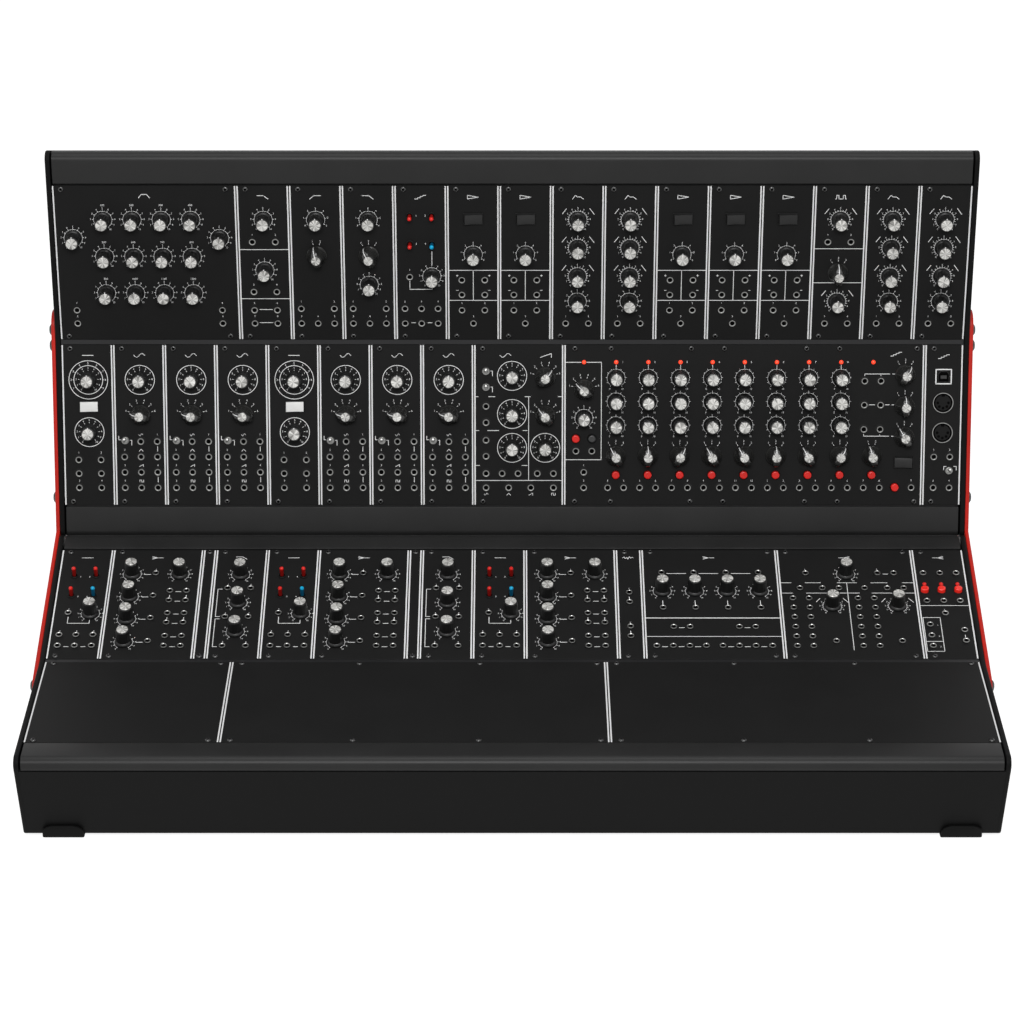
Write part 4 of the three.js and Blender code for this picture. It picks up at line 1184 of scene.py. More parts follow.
def bracket_outline():
    """The V in the lower case's side view: along the rear row, then up the upper front row."""
    start = on_row("rear", PANEL_HEIGHT + STAND_AHEAD, STAND_RISE)
    end = start + ray(STAND_ANGLE) * BRACKET_UP
    out = ray(STAND_ANGLE - math.pi / 2)
    low = on_row("rear", 0, -BRACKET_WIDTH)
    return rounded([
        (meet(start, STAND_ANGLE, on_row("rear", 0), BEND), 0),
        (end, BRACKET_CORNER), (end + out * BRACKET_WIDTH, BRACKET_CORNER),
        (meet(start + out * BRACKET_WIDTH, STAND_ANGLE, low, BEND), BRACKET_BEND),
        *[(on_row("rear", -BRACKET_BACK, above), BRACKET_CORNER) for above in (-BRACKET_WIDTH, 0)],
    ], 12)


def bolt_places():
    """Side-view places of the six bolts: three along each row."""
    low = [on_row("rear", up, -inset) for up, inset in LOW_BOLTS]
    start = on_row("rear", PANEL_HEIGHT + STAND_AHEAD, STAND_RISE)
    away, down = ray(STAND_ANGLE), ray(STAND_ANGLE + math.pi / 2) * -BOLT_INSET
    return low + [start + away * up + down for up in HIGH_BOLTS]


HEAD_PROFILE = [(4.6, -0.2), (4.6, 0.5), (4.3, 1.2), (3.6, 1.8), (2.7, 2.25), (1.75, 2.4), (1.5, 2.3), (1.45, 0.7)]
SIDES = {"left": -1, "right": 1}
for name, side in SIDES.items():
    inner = side * (OUTER_HALF + FIT)
    outer = side * (OUTER_HALF + FIT + BRACKET_THICK)
    plate = across(bracket_outline(), min(inner, outer), max(inner, outer), (0.4, 0.4), 2)
    make_piece(f"bracket_{name}_plate", plate.moved(LOWER_CASE), [powder_red],
               stands_for=[f"bracket_{name}"])
    sideways = np.eye(4)
    sideways[:3, :3] = [[0, 0, side], [0, 1, 0], [-side, 0, 0]]
    head = turned(HEAD_PROFILE, 18, [SCREW] * 6 + [HOLE_SHADE]).moved(sideways)
    bolts = head.copies([(outer, y, z) for y, z in bolt_places()])
    make_piece(f"bracket_{name}_bolts", bolts.moved(LOWER_CASE), CONTROL_FINISHES)
print("bolts a side", len(bolt_places()))

# %% [markdown]
# ## The feet
# Four moulded rubber feet wrap the bottom corners of the lower case. Seen from the
# side each is an L, and seen from the front a low block with round shoulders. So its
# half width w is a function of the height z, and its two sides lie at x = -w(z), w(z).

# %% Feet
FOOT_RISE = 2.5
FOOT_WRAP = 11.4
FOOT_PROUD = 2.4
FOOT_RUN = 24.0
FOOT_WIDTH = 31.0
FOOT_TOP = 0.94
FOOT_ROUND = 3.0
FOOT_SHOULDER = 5.5
FOOT_EDGE = 1.5
FOOT_SOFTEN = 0.9
FOOT_INSET = 14
RIM_ROUND = 0.95
TIP_ROUND = 1.1
DIVISION = 1.2


def divided(outline, step):
    """Adds points along each long edge of an outline, about a step apart."""
    points = []
    for start, end in zip(outline, np.roll(outline, -1, 0)):
        count = max(1, int(np.hypot(*(end - start)) / step))
        points += [start + (end - start) * k / count for k in range(count)]
    return np.array(points)


def foot_form(end, middle):
    """Side view of one foot, with each point spread to the half width at its height."""
    _, _, inward, wall, _ = end
    corner = toe(end)
    out = ray(wall - inward * math.pi / 2)
    near, far = corner + out * FIT, corner + out * FOOT_PROUD
    under, ground = np.array([0, -CASE_DEPTH - FIT]), np.array([0, -CASE_DEPTH - FOOT_RISE])
    back = corner[0] + inward * FOOT_RUN
    outline = counter_clockwise(divided(rounded([
        (near - ray(wall) * FOOT_WRAP, RIM_ROUND), (far - ray(wall) * FOOT_WRAP, TIP_ROUND),
        (meet(far, wall, ground, 0), FOOT_ROUND), (np.array([back, ground[1]]), RIM_ROUND),
        (np.array([back, under[1]]), RIM_ROUND), (meet(near, wall, under, 0), TOE_CORNER),
    ], 5), DIVISION))
    top = (far - ray(wall) * FOOT_WRAP)[1]

    def half_width(height):
        share = np.clip((height - ground[1]) / (top - ground[1]), 0, 1)
        over = np.clip(height - (top - FOOT_SHOULDER), 0, FOOT_SHOULDER)
        below = np.clip(ground[1] + FOOT_EDGE - height, 0, FOOT_EDGE)
        straight = FOOT_WIDTH / 2 * (1 - (1 - FOOT_TOP) * share) - FOOT_SHOULDER - FOOT_EDGE
        return straight + np.sqrt(FOOT_SHOULDER**2 - over**2) + np.sqrt(FOOT_EDGE**2 - below**2)

    rings = []
    steps = edge_steps(FOOT_SOFTEN, 3)
    for side, depth, inset in [(-1, *step) for step in steps] + [(1, *step) for step in steps[::-1]]:
        flat = drawn_in(outline, inset)
        rings.append(np.column_stack([side * (half_width(flat[:, 1]) - depth), flat]))
    return capped(np.array(rings)).moved(at(middle, 0))


for place, end in ENDS["lower"].items():
    for name, side in SIDES.items():
        form = foot_form(end, side * (OUTER_HALF - FOOT_INSET - FOOT_WIDTH / 2))
        make_piece(f"rubber_foot_{place}_{name}", form.moved(LOWER_CASE), [rubber_black],
                   stands_for=[f"foot_{place}_{name}"])
print("feet", len(ENDS["lower"]) * len(SIDES))

# %% [markdown]
# ## Where the controls sit
# Each kind of module has one table: what the control is, how far it sits across the
# module and up the panel, both as shares, and where it has them its turn in degrees
# and its look. Columns and rows that repeat are spelt once.

# %% Tables of controls
def crossings(columns, rows):
    """Every crossing of the given columns and rows, row by row."""
    return [(x, y) for y in rows for x in columns]


def grid(control, columns, rows):
    """One control at every crossing."""
    return [(control, *place) for place in crossings(columns, rows)]


THIRDS = [0.182, 0.5, 0.818]
PAIR = [0.28, 0.72]
QUARTERS = [0.1425, 0.3787, 0.615, 0.853]
LAST_RISE = 0.111
NEXT_RISE = 0.208
KNOB_RISE = 0.781
STAGE_START = 0.1452
STAGE_STEP = 0.0891
STAGE_JACK = 0.0223
STAGE_TURNS = [30, 0, -30, 30, 30, 0, 30, -30]
KNOB_TURNS = {
    0.793: [0, -45, 60, -80, 0, -65, 0, 55], 0.646: [-70, 0, 30, 90, 90, 30, -30, 0],
    0.498: [0, 35, -75, 0, 30, 0, 35, -90],
}


def stage_controls():
    """The sequencer's eight stages, which repeat across the panel at one step."""
    table = []
    for number, turn in enumerate(STAGE_TURNS):
        x = STAGE_START + STAGE_STEP * number
        table.append(("lamp", x, 0.892))
        table += [("knob", x, up, turns[number], "stage") for up, turns in KNOB_TURNS.items()]
        table += [("pointer", x, 0.31, turn, 3), ("button", x, 0.191)]
        table += grid("jack", [x - STAGE_JACK, x + STAGE_JACK], [LAST_RISE])
    return table


FILTER_JACKS = [*grid("jack", THIRDS[::2], [NEXT_RISE]), *grid("jack", THIRDS, [LAST_RISE])]
CONTROLS = {
    "blank": [],
    "bank": [
        *grid("knob", [0.1027, 0.9015], [0.663]),
        *grid("knob", [0.2686, 0.4282, 0.5878, 0.748], [KNOB_RISE, 0.543, 0.306]),
        *grid("jack", [0.1015, 0.9027], [0.198, LAST_RISE]),
    ],
    "dual_filter": [
        *grid("knob", [0.5], [KNOB_RISE, 0.455]), *grid("jack", PAIR, [0.642, 0.318, 0.198, LAST_RISE]),
    ],
    "high_pass": [
        ("knob", 0.5, KNOB_RISE, 0, "seven"), ("pointer", 0.5, 0.552, 15, 2),
        *FILTER_JACKS,
    ],
    "low_pass": [
        ("knob", 0.5, KNOB_RISE, 0, "seven"), ("pointer", 0.5, 0.552, 30, 3), ("knob", 0.5, 0.361),
        *FILTER_JACKS,
    ],
    "control_voltage": [
        *grid("lever", [0.29, 0.71], [0.807, 0.626]), ("knob", 0.705, 0.416), ("jack", 0.28, 0.415),
        *grid("jack", THIRDS, [NEXT_RISE, LAST_RISE]),
    ],
    "amplifier": [
        ("rocker", 0.5, 0.788), ("knob", 0.5, 0.558, 0, "seven"), *grid("jack", PAIR, [0.395, 0.299, 0.198]),
        ("jack", 0.5, LAST_RISE),
    ],
    "envelope": [
        *[("knob", 0.5, up, 0, "time") for up in (KNOB_RISE, 0.6, 0.416)], ("knob", 0.5, 0.251),
        *grid("jack", PAIR, [LAST_RISE]),
    ],
    "delay": [
        *[("knob", 0.5, up, 0, "time") for up in (KNOB_RISE, 0.251)], ("pointer", 0.5, 0.441, 0, 3),
        *grid("jack", PAIR, [0.642, LAST_RISE]),
    ],
    "driver": [
        ("knob", 0.515, 0.782, 0, "double"), ("knob", 0.515, 0.457, 0, "ring"), ("rocker", 0.515, 0.617),
        *grid("jack", [0.3, 0.735], [0.286, 0.2, LAST_RISE]),
    ],
    "oscillator": [
        ("knob", 0.515, 0.782, 0, "ring"), ("pointer", 0.515, 0.565, 75, 6), ("toggle", 0.21, 0.406),
        *grid("jack", [0.515, 0.835], [0.4]), *grid("jack", [0.195, 0.515, 0.835], [0.304, NEXT_RISE, LAST_RISE]),
    ],
    "voltage_oscillator": [
        *[("knob", x, up, 0, "ring") for x, up in ((0.426, 0.807), (0.426, 0.57), (0.426, 0.359), (0.794, 0.359))],
        ("pointer", 0.794, 0.799, -40, 6), ("pointer", 0.794, 0.561, 40, 6), *grid("toggle", [0.136], [0.837, 0.738]),
        *grid("jack", [0.136], [0.619, 0.518, 0.408, 0.308]),
        *grid("jack", [0.136, 0.315, 0.492, 0.707, 0.886], [0.2]),
        *grid("jack", [0.136, 0.388, 0.635, 0.887], [LAST_RISE]),
    ],
    "sequencer": [
        ("lamp", 0.0559, 0.892), ("pointer", 0.0562, 0.723, 50, 6), ("knob", 0.0562, 0.544),
        ("button", 0.0337, 0.417), ("button", 0.0787, 0.417, 0, "dark"), *grid("jack", [0.0341, 0.0784], [0.34]),
        *grid("jack", [0.0561], [NEXT_RISE, LAST_RISE]), *stage_controls(),
        ("lamp", 0.858, 0.892), ("pointer", 0.858, 0.31, 15, 2), ("button", 0.858, 0.191),
        *grid("jack", [0.8357, 0.8803], [LAST_RISE]), *grid("jack", [0.8345, 0.8795], [0.776, 0.627, 0.4755]),
        ("pointer", 0.9473, 0.815, -30, 3), ("pointer", 0.9473, 0.62, 0, 3), ("pointer", 0.9473, 0.428, 30, 3),
        ("rocker", 0.9473, 0.268), ("button", 0.9234, 0.113), ("jack", 0.9691, 0.112),
    ],
    "converter": [
        ("data", 0.5, 0.802), *grid("round", [0.5], [0.64, 0.454]),
        *grid("jack", [0.285, 0.7], [0.304, LAST_RISE]), ("toggle", 0.69, 0.218),
    ],
    "oscillator_control": [
        *grid("lever", [0.31, 0.73], [0.755, 0.571]), ("knob", 0.72, 0.405), ("jack", 0.3, 0.406),
        *grid("jack", [0.19, 0.51, 0.83], [0.206, 0.109]),
    ],
    "mixer": [
        *grid("knob", [0.24], [0.77, 0.56, 0.356, 0.148]), ("knob", 0.766, 0.77),
        *grid("jack", [0.5], [0.773, 0.564, 0.359, 0.151]),
        *grid("jack", [0.678, 0.86], [0.609, 0.521, 0.403, 0.318, 0.197, 0.108]),
    ],
    "attenuator": [*grid("knob", [0.51], [0.767, 0.505, 0.241]), *grid("jack", [0.29, 0.73], [0.633, 0.37, 0.108])],
    "random": grid("jack", [0.48], [0.593, 0.506, 0.283, 0.196]),
    "attenuator_bank": [
        *grid("knob", QUARTERS, [0.613]), *grid("jack", QUARTERS, [0.778, 0.454]),
        *grid("jack", [0.212, 0.33, 0.685, 0.803], [0.279]),
        *grid("jack", [0.083, 0.2016, 0.3202, 0.4388, 0.5574, 0.676, 0.7946, 0.9132], [0.108]),
    ],
    "interface": [
        *grid("jack", [0.2, 0.728, 0.848], [0.773]), ("knob", 0.496, 0.77),
        *grid("jack", [0.15, 0.313, 0.434, 0.6215, 0.7865, 0.907], [0.633]),
        *[("knob", x, 0.4755, 0, "time") for x in (0.373, 0.849)],
        *grid("jack", [0.0915, 0.208, 0.565, 0.684], [0.539, 0.454, 0.367, 0.279, 0.192, 0.107]),
        *grid("jack", [0.375, 0.848], [0.151]),
    ],
    "sequential_switch": [
        *grid("jack", [0.17, 0.49, 0.805], [0.773, 0.516]),
        *[("button", x, 0.618, 0, "lit") for x in (0.16, 0.482, 0.802)],
        ("jack", 0.487, 0.402), *grid("jack", [0.17], [0.3, 0.2016, 0.108]), *grid("jack", [0.806], [0.25, 0.154]),
        *[("lamp", x, 0.675, 0, "unlit") for x in (0.17, 0.49, 0.805)],
    ],
}
print({kind: len(table) for kind, table in CONTROLS.items()})

# %% [markdown]
# ## Which module sits where
# Four rows of 140 units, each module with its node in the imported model, its kind, its
# width and how many stand side by side.

# %% Rows of modules
MODULES = {
    "upper_rear": [
        ("fixed_filter_bank", "bank", 28, 1), ("dual_filter", "dual_filter", 8, 1),
        ("high_pass_filter", "high_pass", 8, 1), ("low_pass_filter", "low_pass", 8, 1),
        ("control_voltage_panel", "control_voltage", 8, 1), ("amplifier_pair", "amplifier", 8, 2),
        ("envelope_pair_left", "envelope", 8, 2), ("amplifier_trio", "amplifier", 8, 3),
        ("trigger_delay", "delay", 8, 1), ("envelope_pair_right", "envelope", 8, 2),
    ],
    "upper_front": [
        ("oscillator_driver_left", "driver", 8, 1), ("oscillator_trio_left", "oscillator", 8, 3),
        ("oscillator_driver_right", "driver", 8, 1), ("oscillator_trio_right", "oscillator", 8, 3),
        ("voltage_oscillator", "voltage_oscillator", 14, 1), ("sequencer", "sequencer", 56, 1),
        ("note_converter", "converter", 6, 1),
    ],
    "lower_rear": [
        ("oscillator_control_left", "oscillator_control", 8, 1), ("mixer_left", "mixer", 14, 1),
        ("filler_left", "blank", 2, 1), ("attenuator_left", "attenuator", 8, 1),
        ("oscillator_control_centre", "oscillator_control", 8, 1), ("mixer_centre", "mixer", 14, 1),
        ("filler_right", "blank", 2, 1), ("attenuator_right", "attenuator", 8, 1),
        ("oscillator_control_right", "oscillator_control", 8, 1), ("mixer_right", "mixer", 14, 1),
        ("random_generator", "random", 4, 1), ("attenuator_bank", "attenuator_bank", 21, 1),
        ("interface_panel", "interface", 21, 1), ("sequential_switch", "sequential_switch", 8, 1),
    ],
    "lower_front": [
        ("blank_panel_narrow", "blank", 28, 1), ("blank_panel_left", "blank", 56, 1),
        ("blank_panel_right", "blank", 56, 1),
    ],
}
# Controls that move: node of the moving piece, its module, and its number in the table
MOVERS = {
    ("low_pass_filter", 0): ("filter_cutoff_knob", "knob_black"),
    ("low_pass_filter", 1): ("filter_range_pointer", "pointer_black"),
    ("control_voltage_panel", 0): ("control_switch_lever", "lever_red"),
    ("amplifier_pair", 0): ("amplifier_rocker", "rocker_black"),
    ("oscillator_driver_left", 2): ("driver_octave_rocker", "rocker_white"),
    ("oscillator_trio_left", 1): ("oscillator_range_pointer", "pointer_black"),
    ("oscillator_trio_left", 2): ("oscillator_sync_toggle", "toggle_nickel"),
    ("sequencer", 10): ("stage_knob", "knob_black"),
    ("sequencer", 13): ("stage_mode_pointer", "pointer_black"),
    ("sequencer", 14): ("stage_set_button", "button_red"),
    ("mixer_left", 0): ("mixer_level_knob", "knob_black"),
    ("sequential_switch", 6): ("switch_select_button", "button_red"),
}
# Panel screws, from a module's left edge in mm, by kind or by the width of a blank; the
# others have one at the usual place, and all repeat close to the top and the bottom
SCREWS = {
    "bank": [7.1, 134.0], "sequencer": [8.7, 37.2, 100.4, 126.5, 191.3, 217.3, 278.2],
    "attenuator_bank": [7.2, 99.5], "interface": [7.2, 99.5],
    2: [5.1], 28: [7.1, 134.2], 56: [8.0, 97.2, 188.8, 277.7],
}
USUAL_SCREW = [7.2]
SCREW_EDGE = 3.0
SCREW_LINES = (SCREW_EDGE, PANEL_HEIGHT - SCREW_EDGE)
print("modules", sum(copies for row in MODULES.values() for _, _, _, copies in row))

# %% [markdown]
# ## Printed rules and signs
# Positions are millimetres from the lower left corner of a module. A rule is a list
# of points, and a sign is a small drawing in a box, such as a wave or a slope, set
# where the real panel has words.

# %% Signs
CYCLE = np.linspace(-1, 1, 13)
SIGNS = {
    "sine": [list(zip(CYCLE, np.sin(math.pi * CYCLE)))],
    "triangle": [[(-1, -1), (0, 1), (1, -1)]],
    "saw": [[(-1, -1), (1, 1), (1, -1)]],
    "square": [[(-1, -1), (-1, 1), (0, 1), (0, -1), (1, -1), (1, 1)]],
    "low": [[(-1, 0.8), (0.2, 0.8), (1, -1)]],
    "high": [[(-1, -1), (-0.2, 0.8), (1, 0.8)]],
    "band": [[(-1, -1), (-0.5, 0.8), (0.5, 0.8), (1, -1)]],
    "rise": [[(-1, -1), (-0.5, 1), (-0.1, 0.1), (0.5, 0.1), (1, -1)]],
    "cone": [[(-1, -1), (-1, 1), (1, 0), (-1, -1)]],
    "steps": [[(-1, -1), (-0.5, -1), (-0.5, -0.3), (0, -0.3), (0, 0.4), (0.5, 0.4), (0.5, 1), (1, 1)]],
    "pulses": [[
        (-1, -1), (-0.8, -1), (-0.8, 1), (-0.4, 1), (-0.4, -1), (0.4, -1), (0.4, 1), (0.8, 1), (0.8, -1), (1, -1),
    ]],
    "merge": [[(-1, 1), (0, 0), (1, 0)], [(-1, -1), (0, 0)], [(-1, 0), (0, 0)]],
    "noise": [[(-1, 0), (-0.7, 0.8), (-0.5, -0.6), (-0.2, 0.3), (0, -1), (0.3, 1), (0.5, -0.4), (0.8, 0.5), (1, 0)]],
    "fan": [[(-1, 0), (0, 0), (1, 1)], [(0, 0), (1, -1)], [(0, 0), (1, 0)]],
    "dash": [[(-1, 0), (1, 0)]],
    "plus": [[(-1, 0), (1, 0)], [(0, -1), (0, 1)]],
}


def sign(name, x, y, half_width, half_height, width=RULE):
    """A sign drawn in a box of these half sizes about a place."""
    strokes = [ink_line(np.array(stroke) * (half_width, half_height), width) for stroke in SIGNS[name]]
    return joined(strokes).moved(at(x, y))


# %% Print of each kind of module
EDGE_IN = 0.45
EDGE_RULE = 1.05
EDGE_SHORT = 0.4
EDGE_END = EDGE_IN + EDGE_RULE
STAGE_PITCH = 25.35


def wide(units, *heights):
    """Rules from edge to edge of a module, at these heights."""
    return [[(EDGE_END, y), (units * UNIT - EDGE_END, y)] for y in heights]


def broken(y, *spans):
    """Level rules over several spans of one line."""
    return [[(low, y), (high, y)] for low, high in spans]


def dashes(y, *centres, half=1.6):
    """Short level rules centred at these places."""
    return [[(x - half, y), (x + half, y)] for x in centres]


def uprights(high, low, *places):
    """Upright rules at these places across."""
    return [[(x, high), (x, low)] for x in places]


def box(x0, y0, x1, y1):
    """A rule round a rectangle."""
    return [(x0, y0), (x1, y0), (x1, y1), (x0, y1), (x0, y0)]


RULES = {
    "dual_filter": [*wide(8, 75.7, 34.6), *broken(25.5, (14, 26.6)), *broken(14.4, (14, 26.6))],
    "control_voltage": [
        [(11.4, 50.0), (11.4, 42.5), (28.8, 42.5), (28.8, 46.0)], *uprights(74, 63.5, 28.8),
        *dashes(14.3, 13.9, 26.8),
    ],
    "amplifier": [*wide(8, 58.4, 33.2), *uprights(58.4, 33.2, 20.3)],
    "delay": wide(8, 76.4, 48.0),
    "oscillator": [
        *uprights(47.0, 43.5, 34), *uprights(22.5, 18.7, 34),
        [(11.5, 52.2), (13.6, 52.2), (13.6, 48.3)], [(5.2, 52.6), (3.4, 52.6), (3.4, 55.4)],
    ],
    "voltage_oscillator": [
        *broken(87.1, (1.3, 3.5), (11.9, 16.7), (40.6, 44.6), (66.8, 69.6)), *uprights(87.1, 19.9, 43.4),
        *broken(60.0, (1.3, 4), (11, 19.6), (39, 42.2)), *broken(32.0, (1.3, 4.5), (38.2, 42.2)), *wide(14, 19.9),
        *[[(12.7, y), (14.8, y), (14.8, y - 3.9)] for y in (107.6, 94.8)],
    ],
    "sequencer": [
        [(1.5, 114.5), (29.7, 114.5), (29.7, 36.6), (1.5, 36.6)],
        *uprights(112.2, 108.6, *(41.31 + STAGE_PITCH * stage for stage in range(8))),
        [(237.5, 102.6), (237.5, 105.2), (257.2, 105.2)], *uprights(104.0, 105.2, 250.2),
        *broken(105.2, (259.4, 260.9)), *broken(80.6, (241.4, 245.6), (254, 257.4), (259.4, 260.9)),
        [(237.5, 58.0), (237.5, 55.5), (257.2, 55.5)], *uprights(56.7, 55.5, 250.2), *broken(55.5, (259.4, 260.9)),
    ],
    "converter": [[(17.0, 28.4), (17.0, 31.2), (19, 31.2)], [(25, 31.2), (26.9, 31.2), (26.9, 28.4)]],
    "oscillator_control": [
        [(12.5, 48.5), (12.5, 41), (29.3, 41), (29.3, 44.5)], *uprights(67, 62.5, 29.3), *dashes(14.0, 14.2, 27.2),
    ],
    "mixer": [
        *[[(26.9, y), (31.6, y)] for y in (98.9, 72.0, 45.7, 19.0)],
        *[rule for y in (78.3, 66.9, 51.8, 40.9, 25.3, 13.9) for rule in dashes(y, 54.7, half=1.9)],
        *[rule for x in (48.2, 61.2) for y in (72.6, 46.4) for rule in uprights(y + 1.3, y - 1.3, x)],
    ],
    "attenuator": [[(7.4, high), (4.2, high), (4.2, low), (7.4, low)] for high, low in ((81.3, 48.9), (46.2, 13.9))],
    "random": [rule for y in (70.6, 30.8) for rule in uprights(y + 1.2, y - 1.2, 9.75)],
    "attenuator_bank": [
        *wide(21, 25.7), *broken(100, *((x, x + 14.8) for x in (19.6, 44.8, 70.0))),
        *uprights(67.5, 62.3, 15.2, 40.4, 65.6, 91), *dashes(35.9, 28.9, 79.4, half=1.9),
        *dashes(13.9, 15.2, 27.8, 40.5, 65.8, 78.5, 91.1, half=2.0),
    ],
    "interface": [
        *broken(88.9, (1.5, 9.5), (20.6, 32.5), (45.7, 60.8), (71.9, 84.6), (96.5, 105.2)),
        *broken(76.6, (1.5, 10), (20.8, 62), (72, 105.2)), *uprights(88.7, 10.2, 53), *dashes(99.3, 84.1, half=1.9),
    ],
    "sequential_switch": [
        *wide(8, 61.8), box(2.2, 47.7, 15.4, 8.6), *broken(20.0, (2.2, 15.4)), *uprights(27.3, 24.9, 32.8),
    ],
}
THICK_RULE = 0.9
THICK_RULES = {"attenuator_bank": broken(47.2, (1.5, 105.2)), "converter": [box(9.2, 97.4, 21.3, 108.8)]}
# The sign at the head of a module; most are 8 units wide and have it at their middle
TITLE_HALF = (4.2, 1.5)
TITLES = {kind: [(name, 20.3, 119)] for kind, name in {
    "dual_filter": "low", "high_pass": "high", "low_pass": "low", "control_voltage": "steps", "amplifier": "cone",
    "envelope": "rise", "delay": "pulses", "attenuator": "low", "sequential_switch": "fan",
}.items()}
TITLES |= {
    "bank": [("band", 71, 120)], "driver": [("dash", 20.9, 120)], "oscillator": [("sine", 20.9, 120)],
    "voltage_oscillator": [("saw", 57, 120), ("sine", 25, 120)], "sequencer": [("steps", 262, 121)],
    "converter": [("steps", 15.2, 119)], "oscillator_control": [("dash", 20.9, 119)], "mixer": [("merge", 35.6, 119)],
    "random": [("noise", 9.8, 119)], "attenuator_bank": [("merge", 53, 119)], "interface": [("fan", 53, 119)],
}
# What stands at each socket of a module, in the order of its table: a figure in turn, a
# wave, a sign of polarity to one side, or nothing. A capital puts it below the socket.
MOST_FIGURES = 12
WAVES = {"s": "sine", "t": "triangle", "w": "saw", "q": "square"}
MARKS = {
    "oscillator": "s##t.#w##q.", "voltage_oscillator": ".........STWQ", "driver": "##..##",
    "sequencer": "..##" + "##" * 9 + "......#", "oscillator_control": "####...", "control_voltage": "####...",
    "mixer": "#...", "random": "#.#.", "attenuator_bank": "", "interface": "##", "sequential_switch": "......#",
    "amplifier": "+x-y###",
}


def counted(places, step=1):
    """Figures that count up by a step over a list of places."""
    return [(str(step * (number + 1)), x, y) for number, (x, y) in enumerate(places)]


# Figures beside levers, lamps and sockets, in mm from the lower left corner
BESIDE_HIGH = 1.6
BESIDE = {
    "control_voltage": counted(crossings([16.8, 23.8], [103.7, 80.4])),
    "oscillator_control": counted(crossings([17.6, 24.7], [96.0, 72.4])),
    "sequencer": counted((46.5 + STAGE_PITCH * stage, 114.6) for stage in range(8)),
    "sequential_switch": counted(crossings([12.8], [38.6, 25.9, 13.9])),
    "bank": counted(crossings([38.2, 60.9, 83.6, 106.4], [112.3, 81.7, 51.2]), 100),
}
MARK_ABOVE = 5.4
WAVE_ABOVE = 5.2
POLARITY_AT = (3.6, 3.2)


def socket_mark(mark, count, x, y):
    """The small print that belongs to one socket."""
    if mark == "#":
        return figure(str((count - 1) % MOST_FIGURES + 1), x, y + MARK_ABOVE, 1.5)
    if mark in "+-xy":
        side, rise = POLARITY_AT
        x += -side if mark in "+-" else side
        return sign("plus" if mark in "+x" else "dash", x, y + rise, 0.7, 0.7, 0.4)
    rise = -MARK_ABOVE if mark.isupper() else WAVE_ABOVE
    return sign(WAVES[mark.lower()], x, y + rise, 1.5, 0.8, 0.45)


def placed(kind, width):
    """Each control of a module: its number, what it is, its place in mm, its turn and its look."""
    for number, (control, share, up, *rest) in enumerate(CONTROLS[kind]):
        turn, look = rest + [0, None][len(rest) :]
        yield number, control, share * width, up * PANEL_HEIGHT, turn, look


def module_print(kind, width, start):
    """All the ink of one module: edge lines, rules, dials, marks at sockets, and signs."""
    edges = (EDGE_IN, width - EDGE_END)
    high = PANEL_HEIGHT - EDGE_SHORT
    forms = [slab(x, EDGE_SHORT, x + EDGE_RULE, high, INK_LOW, INK_HIGH, INK) for x in edges]
    forms += [ink_line(points) for points in RULES.get(kind, [])]
    forms += [ink_line(points, THICK_RULE) for points in THICK_RULES.get(kind, [])]
    forms += [sign(*title, *TITLE_HALF) for title in TITLES.get(kind, [])]
    forms += [figure(*words, BESIDE_HIGH) for words in BESIDE.get(kind, [])]
    marks = itertools.chain(MARKS.get(kind, "#" * MOST_FIGURES), itertools.repeat("."))
    figures = 0
    for _, control, x, y, _, look in placed(kind, width):
        if control in ("knob", "pointer"):
            forms.append(DIALS[look or "open"].moved(at(x, y)))
        elif control == "jack":
            mark = next(marks)
            figures += mark == "#"
            if mark != ".":
                forms.append(socket_mark(mark, figures, x, y))
    return [form.moved(at(start, 0)) for form in forms]


# %% [markdown]
# ## Panels
# Each panel is anodised sheet, sawn to width with its edges broken, and punched where
# a button or a rocker has to pass through it.

# %% Faceplates
PANEL_EDGE = 0.25


def sheet(start, width, loops):
    """A plate behind z = 0 whose front edge is broken, cut through by loops."""
    x0, x1, y0, y1 = start + SEAM / 2, start + width - SEAM / 2, 0, PANEL_HEIGHT
    corners = np.array([(x0, y0), (x1, y0), (x1, y1), (x0, y1)], float)
    top = drawn_in(corners, PANEL_EDGE)
    levels = [(corners, -PANEL_THICK), (corners, -PANEL_EDGE), (top, 0)]
    walls = rings_to_form(np.array([level_at(*level) for level in levels]))
    forms = [Form(walls.points[:-2], walls.faces[: 2 * len(corners)], PANEL)]
    for height, outline, up in ((0.0, top, 1), (-PANEL_THICK, corners, -1)):
        outlines = [outline, *loops]
        forms.append(Form(level_at(np.concatenate(outlines), height), filled(outlines, up), PANEL))
    for loop in loops:
        hole = rings_to_form(np.array([level_at(loop, height) for height in (0.0, -PANEL_THICK)]))
        forms.append(Form(hole.points[:-2], hole.faces[: len(loop)], PANEL))
    return joined(forms)


def openings(kind, start, width):
    """Loops that buttons and rockers pass through."""
    loops = []
    for _, control, x, y, *_ in placed(kind, width):
        if control == "button":
            angle = np.arange(BUTTON_SIDES) * 2 * math.pi / BUTTON_SIDES
            loops.append(round_about(BUTTON_HOLE, angle, 0)[:, :2] + (start + x, y))
        elif control == "rocker":
            loops.append(np.array([(-1, -1), (1, -1), (1, 1), (-1, 1)]) * ROCKER_MOUTH + (start + x, y))
    return loops


# %% One control at a place
UNIT_FORMS = {
    "jack": socket(), "lamp": lamp(), "unlit": lamp(RED), "round": five_pole_socket(), "data": square_socket(),
    "toggle": toggle_bushing(), "lever": lever_collar(), "button": button_collar(), "rocker": rocker_frame(),
    "screw": panel_screw(),
}
BUTTONS = {None: press_button(RED), "lit": press_button(LIT), "dark": press_button(KNOB)}
ROCKERS = {
    "driver": rocker_paddle(WHITE), "amplifier": rocker_paddle(ROCKER),
    "sequencer": rocker_paddle(ROCKER, -ROCKER_TILT),
}
